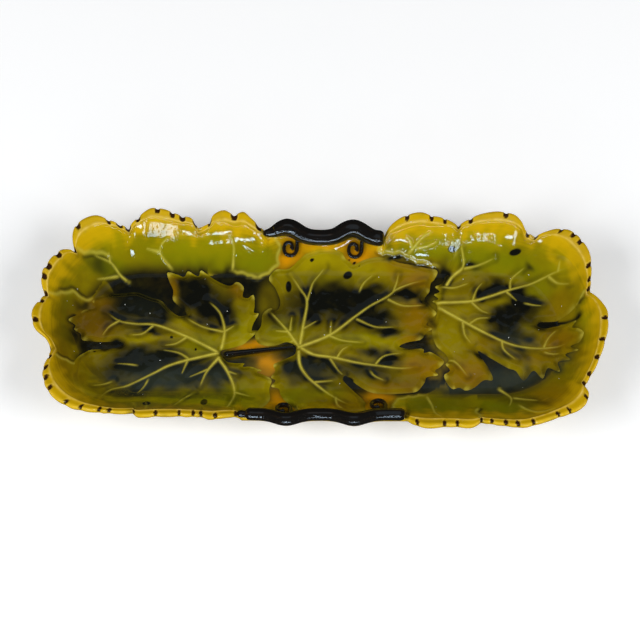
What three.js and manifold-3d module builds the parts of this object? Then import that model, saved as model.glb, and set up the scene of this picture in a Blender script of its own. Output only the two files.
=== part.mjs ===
// Elongated moulded dish with a lobed rim, vine leaves in relief, two twig handles and curled tendrils.
// Millimetres. +X runs along the dish, +Y is the rear side, +Z is up, and the foot stands on z = 0.
import * as THREE from 'three';
import { LoftGeometry } from 'three/addons/geometries/LoftGeometry.js';
import { mergeGeometries, mergeVertices } from 'three/addons/utils/BufferGeometryUtils.js';
import Module from 'manifold-3d';

const { lerp, clamp } = THREE.MathUtils;
const wasm = await Module();
wasm.setup();

// Driving dimensions: the dish
const dishLength = 340;
const dishWidth = 143;
const crestHeight = 36; // top of a rim lobe
const creaseDrop = 3.5; // dip of the rim between two lobes
const sideRun = 34.5; // plan distance from the widest side lobe in to the floor
const endRun = 28.5; // plan distance from the end lobes in to the floor
const floorThickness = 4.2;
const wallThickness = 5.6; // measured upright
const floorFillet = 5; // softness of the turn from floor to wall
const lipWidth = 4;
const lipRound = 1.2;
const rimStep = 5; // distance between neighbouring points of the rim
const easeSpan = 25; // length of rim over which the lower wall evens out the lobes
const lobeFullness = 0.8; // below 1 a lobe rises quickly from its creases
const wallStations = [0, 0.12, 0.3, 0.6, 0.9]; // shares of the wall's run that carry a ring of points

// Driving dimensions: the foot
const footHeight = 5;
const footWidth = 6;
const footInset = 7; // from the floor's edge in to the foot
const footEndSteps = 14; // steps round each end of the foot

// Driving dimensions: the twig handles
const twigDiameter = 8.2;
const knuckleDiameter = 11.4;
const knuckleSpacing = 39.5;
const knuckleLength = 17;
const knuckleRise = 5; // lift of the twig's middle line at a knuckle
const knuckleOut = 4.7; // how far a knuckle bows outward
const handleSeatHeight = 22; // height of the rim under the twig
const twigEndRound = 4; // length of the rounding at a twig's ends
const twigEndShare = 0.55; // size of the blunt end against the twig
const twigEndGap = 1; // from a twig's end to the rising rim
const twigEndStations = [0, 1.2]; // distances from a twig's end that carry a section of the rounding
const twigStep = 3;
const twigSides = 12;

// Driving dimensions: the tendrils
const tendrilDiameter = 2.2;
const tendrilCurlRadius = 4.9;
const tendrilCoreRadius = 1.5;
const tendrilTurns = 1.25;
const tendrilDrop = 6.4; // plan distance from the rim under the twig in to the middle of the curl
const tendrilRoom = 1; // bare ground kept between a curl and the leaves
const tendrilRoomSides = 20;
const tendrilSteps = 22;
const tendrilSides = 8;
const tailStep = 0.8;
const tendrilPlaces = { rearLeft: -18.5, rearRight: 20.5, frontLeft: -22, frontRight: 33.5 }; // along the dish
const slopeProbe = 0.5; // distance over which the wall's slope is measured

// Driving dimensions: the leaves and the stem between them
const leafThickness = 1.5; // measured upright
const leafEdgeSteps = 2; // points of the finished edge to each drawn point
const stemThickEnd = 4.4;
const stemThinEnd = 2.4;
const stemSteps = 8;
const stemSides = 8;

// Clearance between any two clay pieces, for the slip that joins them
const luteGap = 0.35;

const floorUnderside = footHeight + luteGap;
const floorTop = floorUnderside + floorThickness;
const creaseHeight = crestHeight - creaseDrop;
const floorRadius = dishWidth / 2 - sideRun;
const spineHalf = dishLength / 2 - endRun - floorRadius;
const tendrilRadius = tendrilDiameter / 2;

// The rim in plan, clockwise. Each lobe lists its points from its own first crease; it ends at the next one.
const rightRim = {
  lobes: [
    [[38, 57], [42, 62], [50, 66], [60, 67.8], [67, 66], [75, 65]],
    [[82.5, 61.5], [90, 65], [97, 67.3], [107, 68.3], [116, 66.5], [120.5, 62], [123, 57]],
    [[128, 54], [134, 56], [142, 57.5], [150, 55.5], [156, 49], [160, 41], [161, 32]],
    [[160, 17], [165, 11], [169, 3], [169, -6], [167, -16], [162, -30]],
    [[154, -44], [156, -49], [154.5, -55], [149, -60.5], [140, -64.5], [120, -71], [108, -70]],
    [[93, -66.5], [87, -70.3], [76, -71], [63, -71.5], [55, -68]],
  ],
  end: [50, -61.5],
};
const leftRim = {
  lobes: [
    [[-46, -61], [-54, -65], [-62, -66.2]],
    [[-69, -63], [-78, -64.2], [-92, -64.8], [-105, -64]],
    [
      [-109, -60.5], [-117, -61.5], [-128, -61.7], [-142, -60],
      [-152, -55], [-159, -47], [-162, -36], [-160, -28],
    ],
    [[-157.5, -20], [-161, -14], [-167, -9], [-169.5, -3], [-169, 5]],
    [[-163.5, 15], [-165.5, 26], [-162, 34], [-155, 43]],
    [[-147, 45], [-148, 54], [-145, 61], [-135, 65.8], [-125, 63]],
    [[-115, 60], [-110, 65], [-101, 71], [-92, 69.5], [-84, 66.5], [-77, 65]],
    [[-73, 59.5], [-67, 62], [-64, 67], [-58, 69.5], [-51.5, 66.5], [-46, 68.5], [-41, 65]],
  ],
  end: [-31, 58.5],
};

// Leaf outlines in plan, each starting at the notch where its stalk enters
const leafOutlines = {
  left_leaf: [
    [-60, -13], [-55, -10.5], [-46, -7], [-40, -1], [-37, 11], [-41, 14], [-39.5, 24], [-45, 23],
    [-47, 31], [-52, 33], [-60, 33], [-68, 41], [-72, 38], [-77, 40.5], [-81, 38], [-88, 39.5],
    [-91, 34], [-86, 28], [-86, 20], [-80, 12], [-88, 13], [-96, 21], [-110, 27], [-122, 25],
    [-133, 24], [-138, 19], [-137, 15], [-144, 14], [-150, 6], [-146, 1], [-141, -5], [-130, -7],
    [-116, -8.5], [-128, -11], [-140, -13], [-145, -20], [-147, -30], [-143, -41], [-133, -49],
    [-118, -51], [-104, -48], [-92, -52], [-80, -54], [-66, -52], [-52, -55], [-38, -53], [-32, -46],
    [-30, -36], [-30, -30], [-36, -28], [-35, -23], [-44, -21.5], [-56, -19.5],
  ],
  centre_leaf: [
    [-14, -11], [-19, -7], [-29, -8], [-36, -6.5], [-37, -2], [-35, 5], [-34, 12], [-30, 16], [-24, 13],
    [-22, 18], [-25, 28], [-28, 37], [-27, 41], [-19, 41.5], [-12, 45], [-5, 49], [4, 50], [13, 48],
    [19, 44], [28, 45], [40, 46], [52, 43], [63, 41], [69, 37], [66, 31], [63, 26], [60, 20], [68, 12],
    [64, 7], [66, 2.5], [61, -1], [58, -5], [47, -8], [48, -10.5], [60, -11], [67, -13], [71.5, -18],
    [70, -24], [67, -30], [61, -36], [50, -40], [38, -40], [27, -38.5], [19, -33], [14.5, -29],
    [13, -32], [20, -39], [26, -48], [26, -54], [14, -55], [0, -54.5], [-9, -53], [-17, -48],
    [-24, -42], [-27, -35], [-28, -27], [-25, -20], [-19, -17],
  ],
  right_leaf: [
    [71, 16], [67.5, 20], [70.5, 23], [69.5, 27], [72, 31], [73, 37], [79, 44], [84, 52], [92, 54],
    [104, 53], [118, 50], [132, 47], [145, 41], [151, 33], [153, 24], [153, 14], [147, 8], [138, 6.5],
    [130, 6], [133, 3], [141, 3.5], [149, 3.5], [150, -1], [154.5, -6], [152, -11], [149, -15],
    [145, -18], [143, -22], [138, -26], [131, -25.5], [126, -28], [118, -28.5], [111, -24], [101, -17],
    [95, -14], [98, -22], [101, -31], [94, -34], [85, -37], [77, -35], [73.5, -29], [76, -22],
    [75, -15], [70, -8], [69.5, 0], [71, 8],
  ],
};
const stemPath = [[-55.5, -15.3], [-47, -14.2], [-37, -12.8], [-20, -10.6]];

// The drawing is stretched about its middle until the rim measures the dish's length and width
const drawing = new THREE.Box2();
for (const run of [rightRim, leftRim]) {
  run.lobes.forEach((lobe, i) => drawing.union(new THREE.Box2().setFromPoints(smoothLobe(run, i))));
}
const drawingCentre = drawing.getCenter(new THREE.Vector2());
const drawingSize = drawing.getSize(new THREE.Vector2());

function place([x, y]) {
  return new THREE.Vector2(
    ((x - drawingCentre.x) * dishLength) / drawingSize.x,
    ((y - drawingCentre.y) * dishWidth) / drawingSize.y,
  );
}

// The points of one rim lobe as drawn, from its first crease to the next
function smoothLobe(run, index) {
  const next = index + 1 < run.lobes.length ? run.lobes[index + 1][0] : run.end;
  const curve = new THREE.SplineCurve([...run.lobes[index], next].map(([x, y]) => new THREE.Vector2(x, y)));
  return curve.getSpacedPoints(Math.round(curve.getLength() / rimStep));
}

// A run of lobes as points in space: crease height at the creases, seat height beside a twig
function rimRun(run) {
  const points = [];
  run.lobes.forEach((lobe, index) => {
    const startHeight = index === 0 ? handleSeatHeight : creaseHeight;
    const endHeight = index === run.lobes.length - 1 ? handleSeatHeight : creaseHeight;
    const drawn = smoothLobe(run, index);
    drawn.slice(0, -1).forEach((point, i) => {
      const share = i / (drawn.length - 1);
      const base = lerp(startHeight, endHeight, share);
      const height = base + (crestHeight - base) * Math.sin(Math.PI * share) ** lobeFullness;
      const { x, y } = place([point.x, point.y]);
      points.push(new THREE.Vector3(x, y, height));
    });
  });
  return points;
}

const rearSeat = { side: 1, start: place(leftRim.end), end: place(rightRim.lobes[0][0]) };
const frontSeat = { side: -1, start: place(rightRim.end), end: place(leftRim.lobes[0][0]) };

// The twig's middle line and radius at one place along the dish: two knuckles on a straight twig
function twigAt(seat, x) {
  const share = (x - seat.start.x) / (seat.end.x - seat.start.x);
  const knuckle = (middle) => Math.exp(-(((x - middle) / (knuckleLength / 2)) ** 2));
  const swell = knuckle(-knuckleSpacing / 2) + knuckle(knuckleSpacing / 2);
  const base = lerp(seat.start.y, seat.end.y, share) - (seat.side * lipWidth) / 2;
  return {
    y: base + seat.side * knuckleOut * swell,
    z: handleSeatHeight + luteGap + twigDiameter / 2 + knuckleRise * swell,
    radius: lerp(twigDiameter, knuckleDiameter, swell) / 2,
  };
}

// The rim under a twig follows the twig's underside
function seatPoint(seat, x) {
  const twig = twigAt(seat, x);
  return new THREE.Vector3(x, twig.y + (seat.side * lipWidth) / 2, twig.z - twig.radius - luteGap);
}

function seatRun(seat) {
  const steps = Math.round(Math.abs(seat.end.x - seat.start.x) / twigStep);
  return Array.from({ length: steps }, (_, i) => seatPoint(seat, lerp(seat.start.x, seat.end.x, i / steps)));
}

// One upright slice of the wall from the floor's edge to a rim point, square to the floor's edge
function wallSlice(rim) {
  const root = new THREE.Vector2(clamp(rim.x, -spineHalf, spineHalf), 0);
  const outward = new THREE.Vector2(rim.x, rim.y).sub(root);
  const reach = outward.length();
  outward.normalize();
  return {
    rim,
    reach,
    run: reach - lipWidth - floorRadius,
    rise: rim.z - lipRound - floorTop,
    at: (radius, z) => new THREE.Vector3(root.x + outward.x * radius, outward.y * radius, z),
  };
}

const rimPoints = [...rimRun(rightRim), ...seatRun(frontSeat), ...rimRun(leftRim), ...seatRun(rearSeat)];
const slices = rimPoints.map(wallSlice);

// The mean of a slice's run or rise and its neighbours', which the lower wall follows
function eased(key, index) {
  const span = Math.round(easeSpan / rimStep);
  let sum = 0;
  for (let k = -span; k <= span; k++) sum += slices.at((index + k) % slices.length)[key];
  return sum / (2 * span + 1);
}

const columns = slices.map((slice, i) => ({ ...slice, lowRun: eased('run', i), lowRise: eased('rise', i) }));

function wallRadius(column, share) {
  return floorRadius + share * lerp(column.lowRun, column.run, share);
}

function wallTop(column, share) {
  const softness = floorFillet / column.run;
  const climb = (Math.hypot(share, softness) - softness) / (Math.hypot(1, softness) - softness);
  return floorTop + climb * lerp(column.lowRise, column.rise, share);
}

// A ring of points on the wall, lifted or lowered from the inner face
function wallRing(share, lift) {
  return columns.map((c) => c.at(wallRadius(c, share), wallTop(c, share) + lift));
}

function lipRing(inset, drop) {
  return columns.map((c) => c.at(c.reach - inset, c.rim.z - drop));
}

function plain(geometry) {
  const bare = new THREE.BufferGeometry();
  bare.setAttribute('position', geometry.getAttribute('position').clone());
  bare.setIndex(geometry.getIndex());
  return bare.getIndex() ? bare.toNonIndexed() : bare;
}

// The shell: rings of points run out over the inner face, round the lip and back underneath to the flat base
function shellGeometry() {
  const rings = [
    ...wallStations.map((share) => wallRing(share, 0)),
    lipRing(lipWidth, lipRound),
    lipRing(lipWidth - lipRound, 0),
    lipRing(lipRound, 0),
    lipRing(0, lipRound),
    lipRing(0, wallThickness),
    ...wallStations.toReversed().map((share) => wallRing(share, -lerp(floorThickness, wallThickness, share))),
  ];
  const floor = new THREE.Shape(rings[0].map((p) => new THREE.Vector2(p.x, p.y)));
  const floorFace = new THREE.ShapeGeometry(floor).translate(0, 0, floorTop);
  const sides = new LoftGeometry(rings, { capEnd: true });
  return mergeVertices(mergeGeometries([plain(floorFace), plain(sides)]));
}

function solidOf(geometry) {
  const merged = mergeVertices(plain(geometry));
  return new wasm.Manifold(new wasm.Mesh({
    numProp: 3,
    vertProperties: new Float32Array(merged.getAttribute('position').array),
    triVerts: new Uint32Array(merged.getIndex().array),
  }));
}

function geometryOf(solid) {
  const { vertProperties, triVerts } = solid.getMesh();
  const geometry = new THREE.BufferGeometry();
  geometry.setAttribute('position', new THREE.BufferAttribute(vertProperties, 3));
  geometry.setIndex(new THREE.BufferAttribute(triVerts, 1));
  return geometry;
}

// A round bar along a path, with its own radius at each point
function roundBar(path, radii, sides) {
  const up = new THREE.Vector3(0, 0, 1);
  const sections = path.map((point, i) => {
    const along = path[Math.min(i + 1, path.length - 1)].clone().sub(path[Math.max(i - 1, 0)]).normalize();
    const across = up.clone().cross(along).normalize();
    const over = along.clone().cross(across);
    return Array.from({ length: sides }, (_, k) => {
      const angle = (2 * Math.PI * k) / sides;
      return point.clone()
        .addScaledVector(across, radii[i] * Math.cos(angle))
        .addScaledVector(over, radii[i] * Math.sin(angle));
    });
  });
  return new LoftGeometry(sections, { capStart: true, capEnd: true });
}

function twigGeometry(seat) {
  const left = Math.min(seat.start.x, seat.end.x) + twigEndGap;
  const right = Math.max(seat.start.x, seat.end.x) - twigEndGap;
  const inner = Math.round((right - left - 2 * twigEndRound) / twigStep);
  const between = (i) => lerp(left + twigEndRound, right - twigEndRound, i / inner);
  const stops = [
    ...twigEndStations.map((distance) => left + distance),
    ...Array.from({ length: inner + 1 }, (_, i) => between(i)),
    ...twigEndStations.toReversed().map((distance) => right - distance),
  ];
  const path = [];
  const radii = [];
  for (const x of stops) {
    const twig = twigAt(seat, x);
    const fromEnd = Math.min(x - left, right - x, twigEndRound) / twigEndRound;
    path.push(new THREE.Vector3(x, twig.y, twig.z));
    radii.push(twig.radius * lerp(twigEndShare, 1, Math.sqrt(fromEnd)));
  }
  return roundBar(path, radii, twigSides);
}

// A tendril's curl in plan, opening towards the twig
function curlPlan({ x, seat }) {
  const rim = seatPoint(seat, x);
  const middle = new THREE.Vector2(x, rim.y - seat.side * (lipWidth + tendrilDrop));
  const turn = 2 * Math.PI * tendrilTurns;
  const points = Array.from({ length: tendrilSteps + 1 }, (_, i) => {
    const share = i / tendrilSteps;
    const radius = lerp(tendrilCoreRadius, tendrilCurlRadius, share);
    const angle = turn * (share - 1);
    return new THREE.Vector2(radius * Math.cos(angle), seat.side * radius * Math.sin(angle)).add(middle);
  });
  return { middle, points };
}

// Height of one slice's inner face at a distance from the dish's middle
function sliceHeight(column, distance) {
  const profile = wallStations.map((share) => [wallRadius(column, share), wallTop(column, share)]);
  profile.push([column.reach - lipWidth, column.rim.z - lipRound]);
  const radius = clamp(distance, floorRadius, column.reach - lipWidth);
  const next = Math.max(1, profile.findIndex(([r]) => r >= radius));
  const [[innerRadius, innerTop], [outerRadius, outerTop]] = [profile[next - 1], profile[next]];
  return lerp(innerTop, outerTop, (radius - innerRadius) / (outerRadius - innerRadius));
}

// Height of the inner face at a place on the wall below a twig
function wallHeight(seat, x, y) {
  const row = columns.filter((c) => c.rim.y * seat.side > 0).sort((a, b) => a.rim.x - b.rim.x);
  const next = row.findIndex((c) => c.rim.x > x);
  const [before, after] = [row[next - 1], row[next]];
  const share = (x - before.rim.x) / (after.rim.x - before.rim.x);
  return lerp(sliceHeight(before, Math.abs(y)), sliceHeight(after, Math.abs(y)), share);
}

// A point on a tendril's middle line, resting on the wall
function restOnWall(seat, x, y) {
  const z = wallHeight(seat, x, y);
  const slopeX = (wallHeight(seat, x + slopeProbe, y) - z) / slopeProbe;
  const slopeY = (wallHeight(seat, x, y + slopeProbe) - z) / slopeProbe;
  const away = new THREE.Vector3(-slopeX, -slopeY, 1).normalize();
  return new THREE.Vector3(x, y, z).addScaledVector(away, luteGap + tendrilRadius);
}

// The curl, then a tail that runs on up the wall until it reaches the twig
function tendrilGeometry(tendril) {
  const { seat } = tendril;
  const { points } = curlPlan(tendril);
  const path = points.map(({ x, y }) => restOnWall(seat, x, y));
  const { x, y } = points[points.length - 1];
  const twig = twigAt(seat, x);
  const nearest = twig.radius + tendrilRadius + luteGap;
  for (let step = tailStep; step < tendrilDrop; step += tailStep) {
    const next = restOnWall(seat, x, y + seat.side * step);
    if (Math.hypot(next.y - twig.y, next.z - twig.z) < nearest) break;
    path.push(next);
  }
  return roundBar(path, path.map(() => tendrilRadius), tendrilSides);
}

// The stem lies on the floor and thins towards the centre leaf
function stemGeometry() {
  const middle = new THREE.SplineCurve(stemPath.map(place)).getSpacedPoints(stemSteps);
  const radii = middle.map((_, i) => lerp(stemThickEnd, stemThinEnd, i / stemSteps) / 2);
  const path = middle.map(({ x, y }, i) => new THREE.Vector3(x, y, floorTop + luteGap + radii[i]));
  return roundBar(path, radii, stemSides);
}

// The layer that the leaves are cut from: it follows the inner face, a gap above it and a leaf's thickness deep
function leafLayer() {
  const lifted = (distance) => solidOf(shellGeometry().translate(0, 0, distance));
  return lifted(luteGap + leafThickness).subtract(lifted(luteGap));
}

// A leaf is its drawn outline cut upright through that layer, clear of the tendrils
function leafGeometry(outline, layer, rooms) {
  const corners = outline.map(place).map(({ x, y }) => new THREE.Vector3(x, y, 0));
  const edge = new THREE.CatmullRomCurve3(corners, true).getPoints(outline.length * leafEdgeSteps).slice(0, -1);
  const shape = new THREE.Shape(edge.map(({ x, y }) => new THREE.Vector2(x, y)));
  const block = new THREE.ExtrudeGeometry(shape, { depth: crestHeight, bevelEnabled: false });
  let plate = solidOf(block).intersect(layer);
  for (const room of rooms) plate = plate.subtract(room);
  return geometryOf(plate);
}

// A ring with straight sides and round ends, set in from the floor's edge
function footGeometry() {
  const outer = floorRadius - footInset;
  const track = (path, radius) => path
    .absarc(spineHalf, 0, radius, -Math.PI / 2, Math.PI / 2)
    .absarc(-spineHalf, 0, radius, Math.PI / 2, (3 * Math.PI) / 2);
  const ring = track(new THREE.Shape(), outer);
  ring.holes.push(track(new THREE.Path(), outer - footWidth));
  return new THREE.ExtrudeGeometry(ring, {
    depth: footHeight,
    bevelEnabled: false,
    curveSegments: footEndSteps,
  });
}

const glaze = { metalness: 0, roughness: 0.18 };
const ochreGlaze = new THREE.MeshStandardMaterial({ color: 0xb08a12, ...glaze });
const oliveGlaze = new THREE.MeshStandardMaterial({ color: 0x6f7410, ...glaze });
const barkGlaze = new THREE.MeshStandardMaterial({ color: 0x1e1712, ...glaze });
const footGlaze = new THREE.MeshStandardMaterial({ color: 0xc79a3c, metalness: 0, roughness: 0.5 });

const dish = new THREE.Group();

function addPiece(name, geometry, material) {
  const piece = new THREE.Mesh(geometry, material);
  piece.name = name;
  dish.add(piece);
}

const tendrils = [
  { name: 'rear_left_tendril', seat: rearSeat, x: tendrilPlaces.rearLeft },
  { name: 'rear_right_tendril', seat: rearSeat, x: tendrilPlaces.rearRight },
  { name: 'front_left_tendril', seat: frontSeat, x: tendrilPlaces.frontLeft },
  { name: 'front_right_tendril', seat: frontSeat, x: tendrilPlaces.frontRight },
];

// Upright columns of space around the curls, which the leaves stay out of
const curlRooms = tendrils.map((tendril) => {
  const { middle } = curlPlan(tendril);
  const radius = tendrilCurlRadius + tendrilRadius + tendrilRoom;
  const room = new THREE.CylinderGeometry(radius, radius, 2 * crestHeight, tendrilRoomSides);
  return solidOf(room.rotateX(Math.PI / 2).translate(middle.x, middle.y, 0));
});

addPiece('dish_shell', shellGeometry(), ochreGlaze);
addPiece('foot_ring', footGeometry(), footGlaze);
addPiece('rear_branch_handle', twigGeometry(rearSeat), barkGlaze);
addPiece('front_branch_handle', twigGeometry(frontSeat), barkGlaze);
for (const tendril of tendrils) addPiece(tendril.name, tendrilGeometry(tendril), barkGlaze);
const layer = leafLayer();
for (const [name, outline] of Object.entries(leafOutlines)) {
  addPiece(name, leafGeometry(outline, layer, curlRooms), oliveGlaze);
}
addPiece('leaf_stem', stemGeometry(), barkGlaze);

export default dish;
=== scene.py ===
# Long leaf dish in glazed earthenware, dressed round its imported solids. Lengths are in millimetres.
import math

import bpy
import numpy as np
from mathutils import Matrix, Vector


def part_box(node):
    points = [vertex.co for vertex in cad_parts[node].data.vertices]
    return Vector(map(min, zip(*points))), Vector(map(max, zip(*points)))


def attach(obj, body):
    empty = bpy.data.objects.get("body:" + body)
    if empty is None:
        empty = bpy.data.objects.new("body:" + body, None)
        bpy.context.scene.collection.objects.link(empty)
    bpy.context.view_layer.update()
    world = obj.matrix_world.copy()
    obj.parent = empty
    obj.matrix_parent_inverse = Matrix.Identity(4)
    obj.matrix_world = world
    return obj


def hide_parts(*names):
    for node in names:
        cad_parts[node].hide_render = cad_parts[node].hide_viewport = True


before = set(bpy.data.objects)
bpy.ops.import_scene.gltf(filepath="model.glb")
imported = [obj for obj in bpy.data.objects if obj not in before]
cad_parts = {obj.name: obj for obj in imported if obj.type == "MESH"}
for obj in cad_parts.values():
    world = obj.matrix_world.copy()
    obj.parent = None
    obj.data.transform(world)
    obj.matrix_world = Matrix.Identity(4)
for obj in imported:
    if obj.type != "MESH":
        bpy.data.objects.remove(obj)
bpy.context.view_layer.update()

mm = 0.001
print("frame loaded with", len(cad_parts), "nodes")


def nodeBox(name):
    low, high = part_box(name)
    return np.array(low) / mm, np.array(high) / mm


def ease(value, low, high):
    share = np.clip((value - low) / (high - low), 0, 1)
    return share * share * (3 - 2 * share)


def between(start, end, share):
    return start + (end - start) * share


def curveThrough(points, step, closed=False):
    # smooth line through given points, then spaced evenly
    own = np.array(points, float)
    if closed:
        here, after = own, np.roll(own, -1, 0)
        before, beyond = np.roll(own, 1, 0), np.roll(own, -2, 0)
    else:
        here, after = own[:-1], own[1:]
        before, beyond = np.vstack([own[:1], own[:-2]]), np.vstack([own[2:], own[-1:]])
    t = np.linspace(0, 1, 24, endpoint=False)[None, :, None]
    here, after, before, beyond = (p[:, None] for p in (here, after, before, beyond))
    leave, arrive = (after - before) / 2, (beyond - here) / 2
    line = (2 * here - 2 * after + leave + arrive) * t ** 3
    line = line + (3 * after - 3 * here - 2 * leave - arrive) * t ** 2
    line = (line + leave * t + here).reshape(-1, own.shape[1])
    line = np.vstack([line, own[:1] if closed else own[-1:]])
    along = np.concatenate([[0], np.cumsum(np.linalg.norm(np.diff(line, axis=0), axis=1))])
    stops = np.linspace(0, along[-1], max(2, round(along[-1] / step) + 1))
    spaced = np.column_stack([np.interp(stops, along, line[:, k]) for k in range(own.shape[1])])
    return spaced[:-1] if closed else spaced


def mottle(x, y, size, turn=0.0):
    # smooth uneven field from -1 to 1, without a random draw
    total = 0
    for k in range(5):
        angle = turn + 2.4 * k
        wave = 2 * np.pi / size * (0.7 + 0.23 * k)
        along = x * np.cos(angle) + y * np.sin(angle)
        across = y * np.cos(angle) - x * np.sin(angle)
        total = total + np.sin(along * wave + 1.7 * k + 2.2 * np.sin(across * wave * 0.55 + 3.1 * k))
    return total / 3.2


def nearLine(x, y, line):
    # distance to a drawn line, how far along it the nearest place is, and which side (1 is left)
    best = np.full(x.shape, 1e9)
    spot = np.zeros(x.shape)
    side = np.ones(x.shape)
    count = len(line) - 1
    for k in range(count):
        (ax, ay), (bx, by) = line[k], line[k + 1]
        lengthSquared = max((bx - ax) ** 2 + (by - ay) ** 2, 1e-9)
        share = np.clip(((x - ax) * (bx - ax) + (y - ay) * (by - ay)) / lengthSquared, 0, 1)
        away = (x - ax - share * (bx - ax)) ** 2 + (y - ay - share * (by - ay)) ** 2
        closer = away < best
        best = np.where(closer, away, best)
        spot = np.where(closer, (k + share) / count, spot)
        turn = (bx - ax) * (y - ay) - (by - ay) * (x - ax)
        side = np.where(closer, np.where(turn >= 0, 1.0, -1.0), side)
    return np.sqrt(best), spot, side


def depthInside(x, y, outline):
    # distance to an outline, positive inside it
    ring = np.vstack([outline, outline[:1]])
    away, _, _ = nearLine(x, y, ring)
    inside = np.zeros(x.shape, bool)
    for (ax, ay), (bx, by) in zip(ring[:-1], ring[1:]):
        if ay != by:
            inside ^= ((ay > y) != (by > y)) & (x < ax + (y - ay) * (bx - ax) / (by - ay))
    return np.where(inside, away, -away)


def toothed(line, pitch, depth):
    # small pointed teeth along a drawn line
    ahead = np.gradient(line, axis=0)
    out = np.column_stack([ahead[:, 1], -ahead[:, 0]])
    out /= np.linalg.norm(out, axis=1)[:, None]
    along = np.concatenate([[0], np.cumsum(np.linalg.norm(np.diff(line, axis=0), axis=1))])
    count = max(1, round(along[-1] / pitch))
    wave = np.abs(np.sin(np.pi * count * (along / along[-1]) + 0.9 * np.sin(along / 13)))
    return line + out * (depth * (0.45 - wave))[:, None]


# The dish's body: sizes shared with the solids

shellLow, shellHigh = nodeBox("dish_shell")
dish = {
    "length": shellHigh[0] - shellLow[0],
    "width": shellHigh[1] - shellLow[1],
    "crest": shellHigh[2],  # top of a rim lobe
    "base": shellLow[2],  # underside of the floor
    "creaseDrop": 5.6,  # dip of the rim between two lobes
    "sideRun": 34.5,  # from the widest side lobe in to the floor
    "endRun": 28.5,  # from the end lobes in to the floor
    "floorThickness": 4.2,
    "wallThickness": 5.6,
    "floorFillet": 5.0,
    "lipWidth": 4.0,
    "lipRound": 1.2,
    "easeSpan": 25.0,  # length of rim over which the lower wall evens out the lobes
    "lobeFullness": 0.8,
    "lobeHold": 0.015,  # how much of the lobes still shows in the wall under the rim
    "bandWidth": 5.0,  # flat of the rim, wider on a lobe and narrower in a crease
    "bandGrowth": 0.6,
    "bandRange": [3.4, 9.5],
    "seatHeight": 22.0,  # rim under a twig
    "slip": 0.35,  # layer that joins two clay pieces
    "wallSag": 0.7,  # hollow of the wall's inner face
}
twig = {
    "diameter": 8.2,
    "knuckleDiameter": 11.4,
    "knuckleSpacing": 39.5,
    "knuckleLength": 17.0,
    "knuckleRise": 5.0,
    "knuckleOut": 4.7,
}
floorTop = dish["base"] + dish["floorThickness"]
floorRadius = dish["width"] / 2 - dish["sideRun"]
spineHalf = dish["length"] / 2 - dish["endRun"] - floorRadius
sideLength, endLength = 2 * spineHalf, math.pi * floorRadius
edgeLength = 2 * (sideLength + endLength)

# Rim in plan, clockwise. A lobe lists its points from its own first crease and ends at the next lobe's.
rightRim = {
    "lobes": [
        [[38, 57], [42, 62], [50, 66], [60, 67.8], [67, 66], [75, 65]],
        [[82.5, 61.5], [90, 65], [97, 67.3], [107, 68.3], [116, 66.5], [120.5, 62], [123, 57]],
        [[128, 54], [134, 56], [142, 57.5], [150, 55.5], [156, 49], [160, 41], [161, 32]],
        [[160, 17], [165, 11], [169, 3], [169, -6], [167, -16], [162, -30]],
        [[154, -44], [156, -49], [154.5, -55], [149, -60.5], [140, -64.5], [120, -71], [108, -70]],
        [[93, -66.5], [87, -70.3], [76, -71], [63, -71.5], [55, -68]],
    ],
    "end": [50, -61.5],
}
leftRim = {
    "lobes": [
        [[-46, -61], [-54, -65], [-62, -66.2]],
        [[-69, -63], [-78, -64.2], [-92, -64.8], [-105, -64]],
        [
            [-109, -60.5], [-117, -61.5], [-128, -61.7], [-142, -60], [-152, -55], [-159, -47], [-162, -36],
            [-160, -28],
        ],
        [[-157.5, -20], [-161, -14], [-167, -9], [-169.5, -3], [-169, 5]],
        [[-163.5, 15], [-165.5, 26], [-162, 34], [-155, 43]],
        [[-147, 45], [-148, 54], [-145, 61], [-135, 65.8], [-125, 63]],
        [[-115, 60], [-110, 65], [-101, 71], [-92, 69.5], [-84, 66.5], [-77, 65]],
        [[-73, 59.5], [-67, 62], [-64, 67], [-58, 69.5], [-51.5, 66.5], [-46, 68.5], [-41, 65]],
    ],
    "end": [-31, 58.5],
}
rimStep = 0.5


def lobeLines(rim):
    starts = [lobe[0] for lobe in rim["lobes"]] + [rim["end"]]
    return [curveThrough(lobe + [starts[k + 1]], rimStep) for k, lobe in enumerate(rim["lobes"])]


drawnRim = np.vstack(lobeLines(rightRim) + lobeLines(leftRim))
drawnMiddle = (drawnRim.max(0) + drawnRim.min(0)) / 2
drawnSize = drawnRim.max(0) - drawnRim.min(0)


def place(points):
    # the drawing, stretched to the dish's length and width
    return (np.array(points, float) - drawnMiddle) / drawnSize * [dish["length"], dish["width"]]


rearSeat = {"side": 1, "start": place(leftRim["end"]), "end": place(rightRim["lobes"][0][0])}
frontSeat = {"side": -1, "start": place(rightRim["end"]), "end": place(leftRim["lobes"][0][0])}


def twigLine(seat, x):
    # middle line and radius of a twig at places along the dish
    share = (x - seat["start"][0]) / (seat["end"][0] - seat["start"][0])
    half = twig["knuckleSpacing"] / 2
    swell = sum(np.exp(-(((x - middle) / (twig["knuckleLength"] / 2)) ** 2)) for middle in (-half, half))
    y = between(seat["start"][1], seat["end"][1], share)
    y = y + seat["side"] * (twig["knuckleOut"] * swell - dish["lipWidth"] / 2)
    z = dish["seatHeight"] + dish["slip"] + twig["diameter"] / 2 + twig["knuckleRise"] * swell
    return y, z, between(twig["diameter"], twig["knuckleDiameter"], swell) / 2


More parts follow.
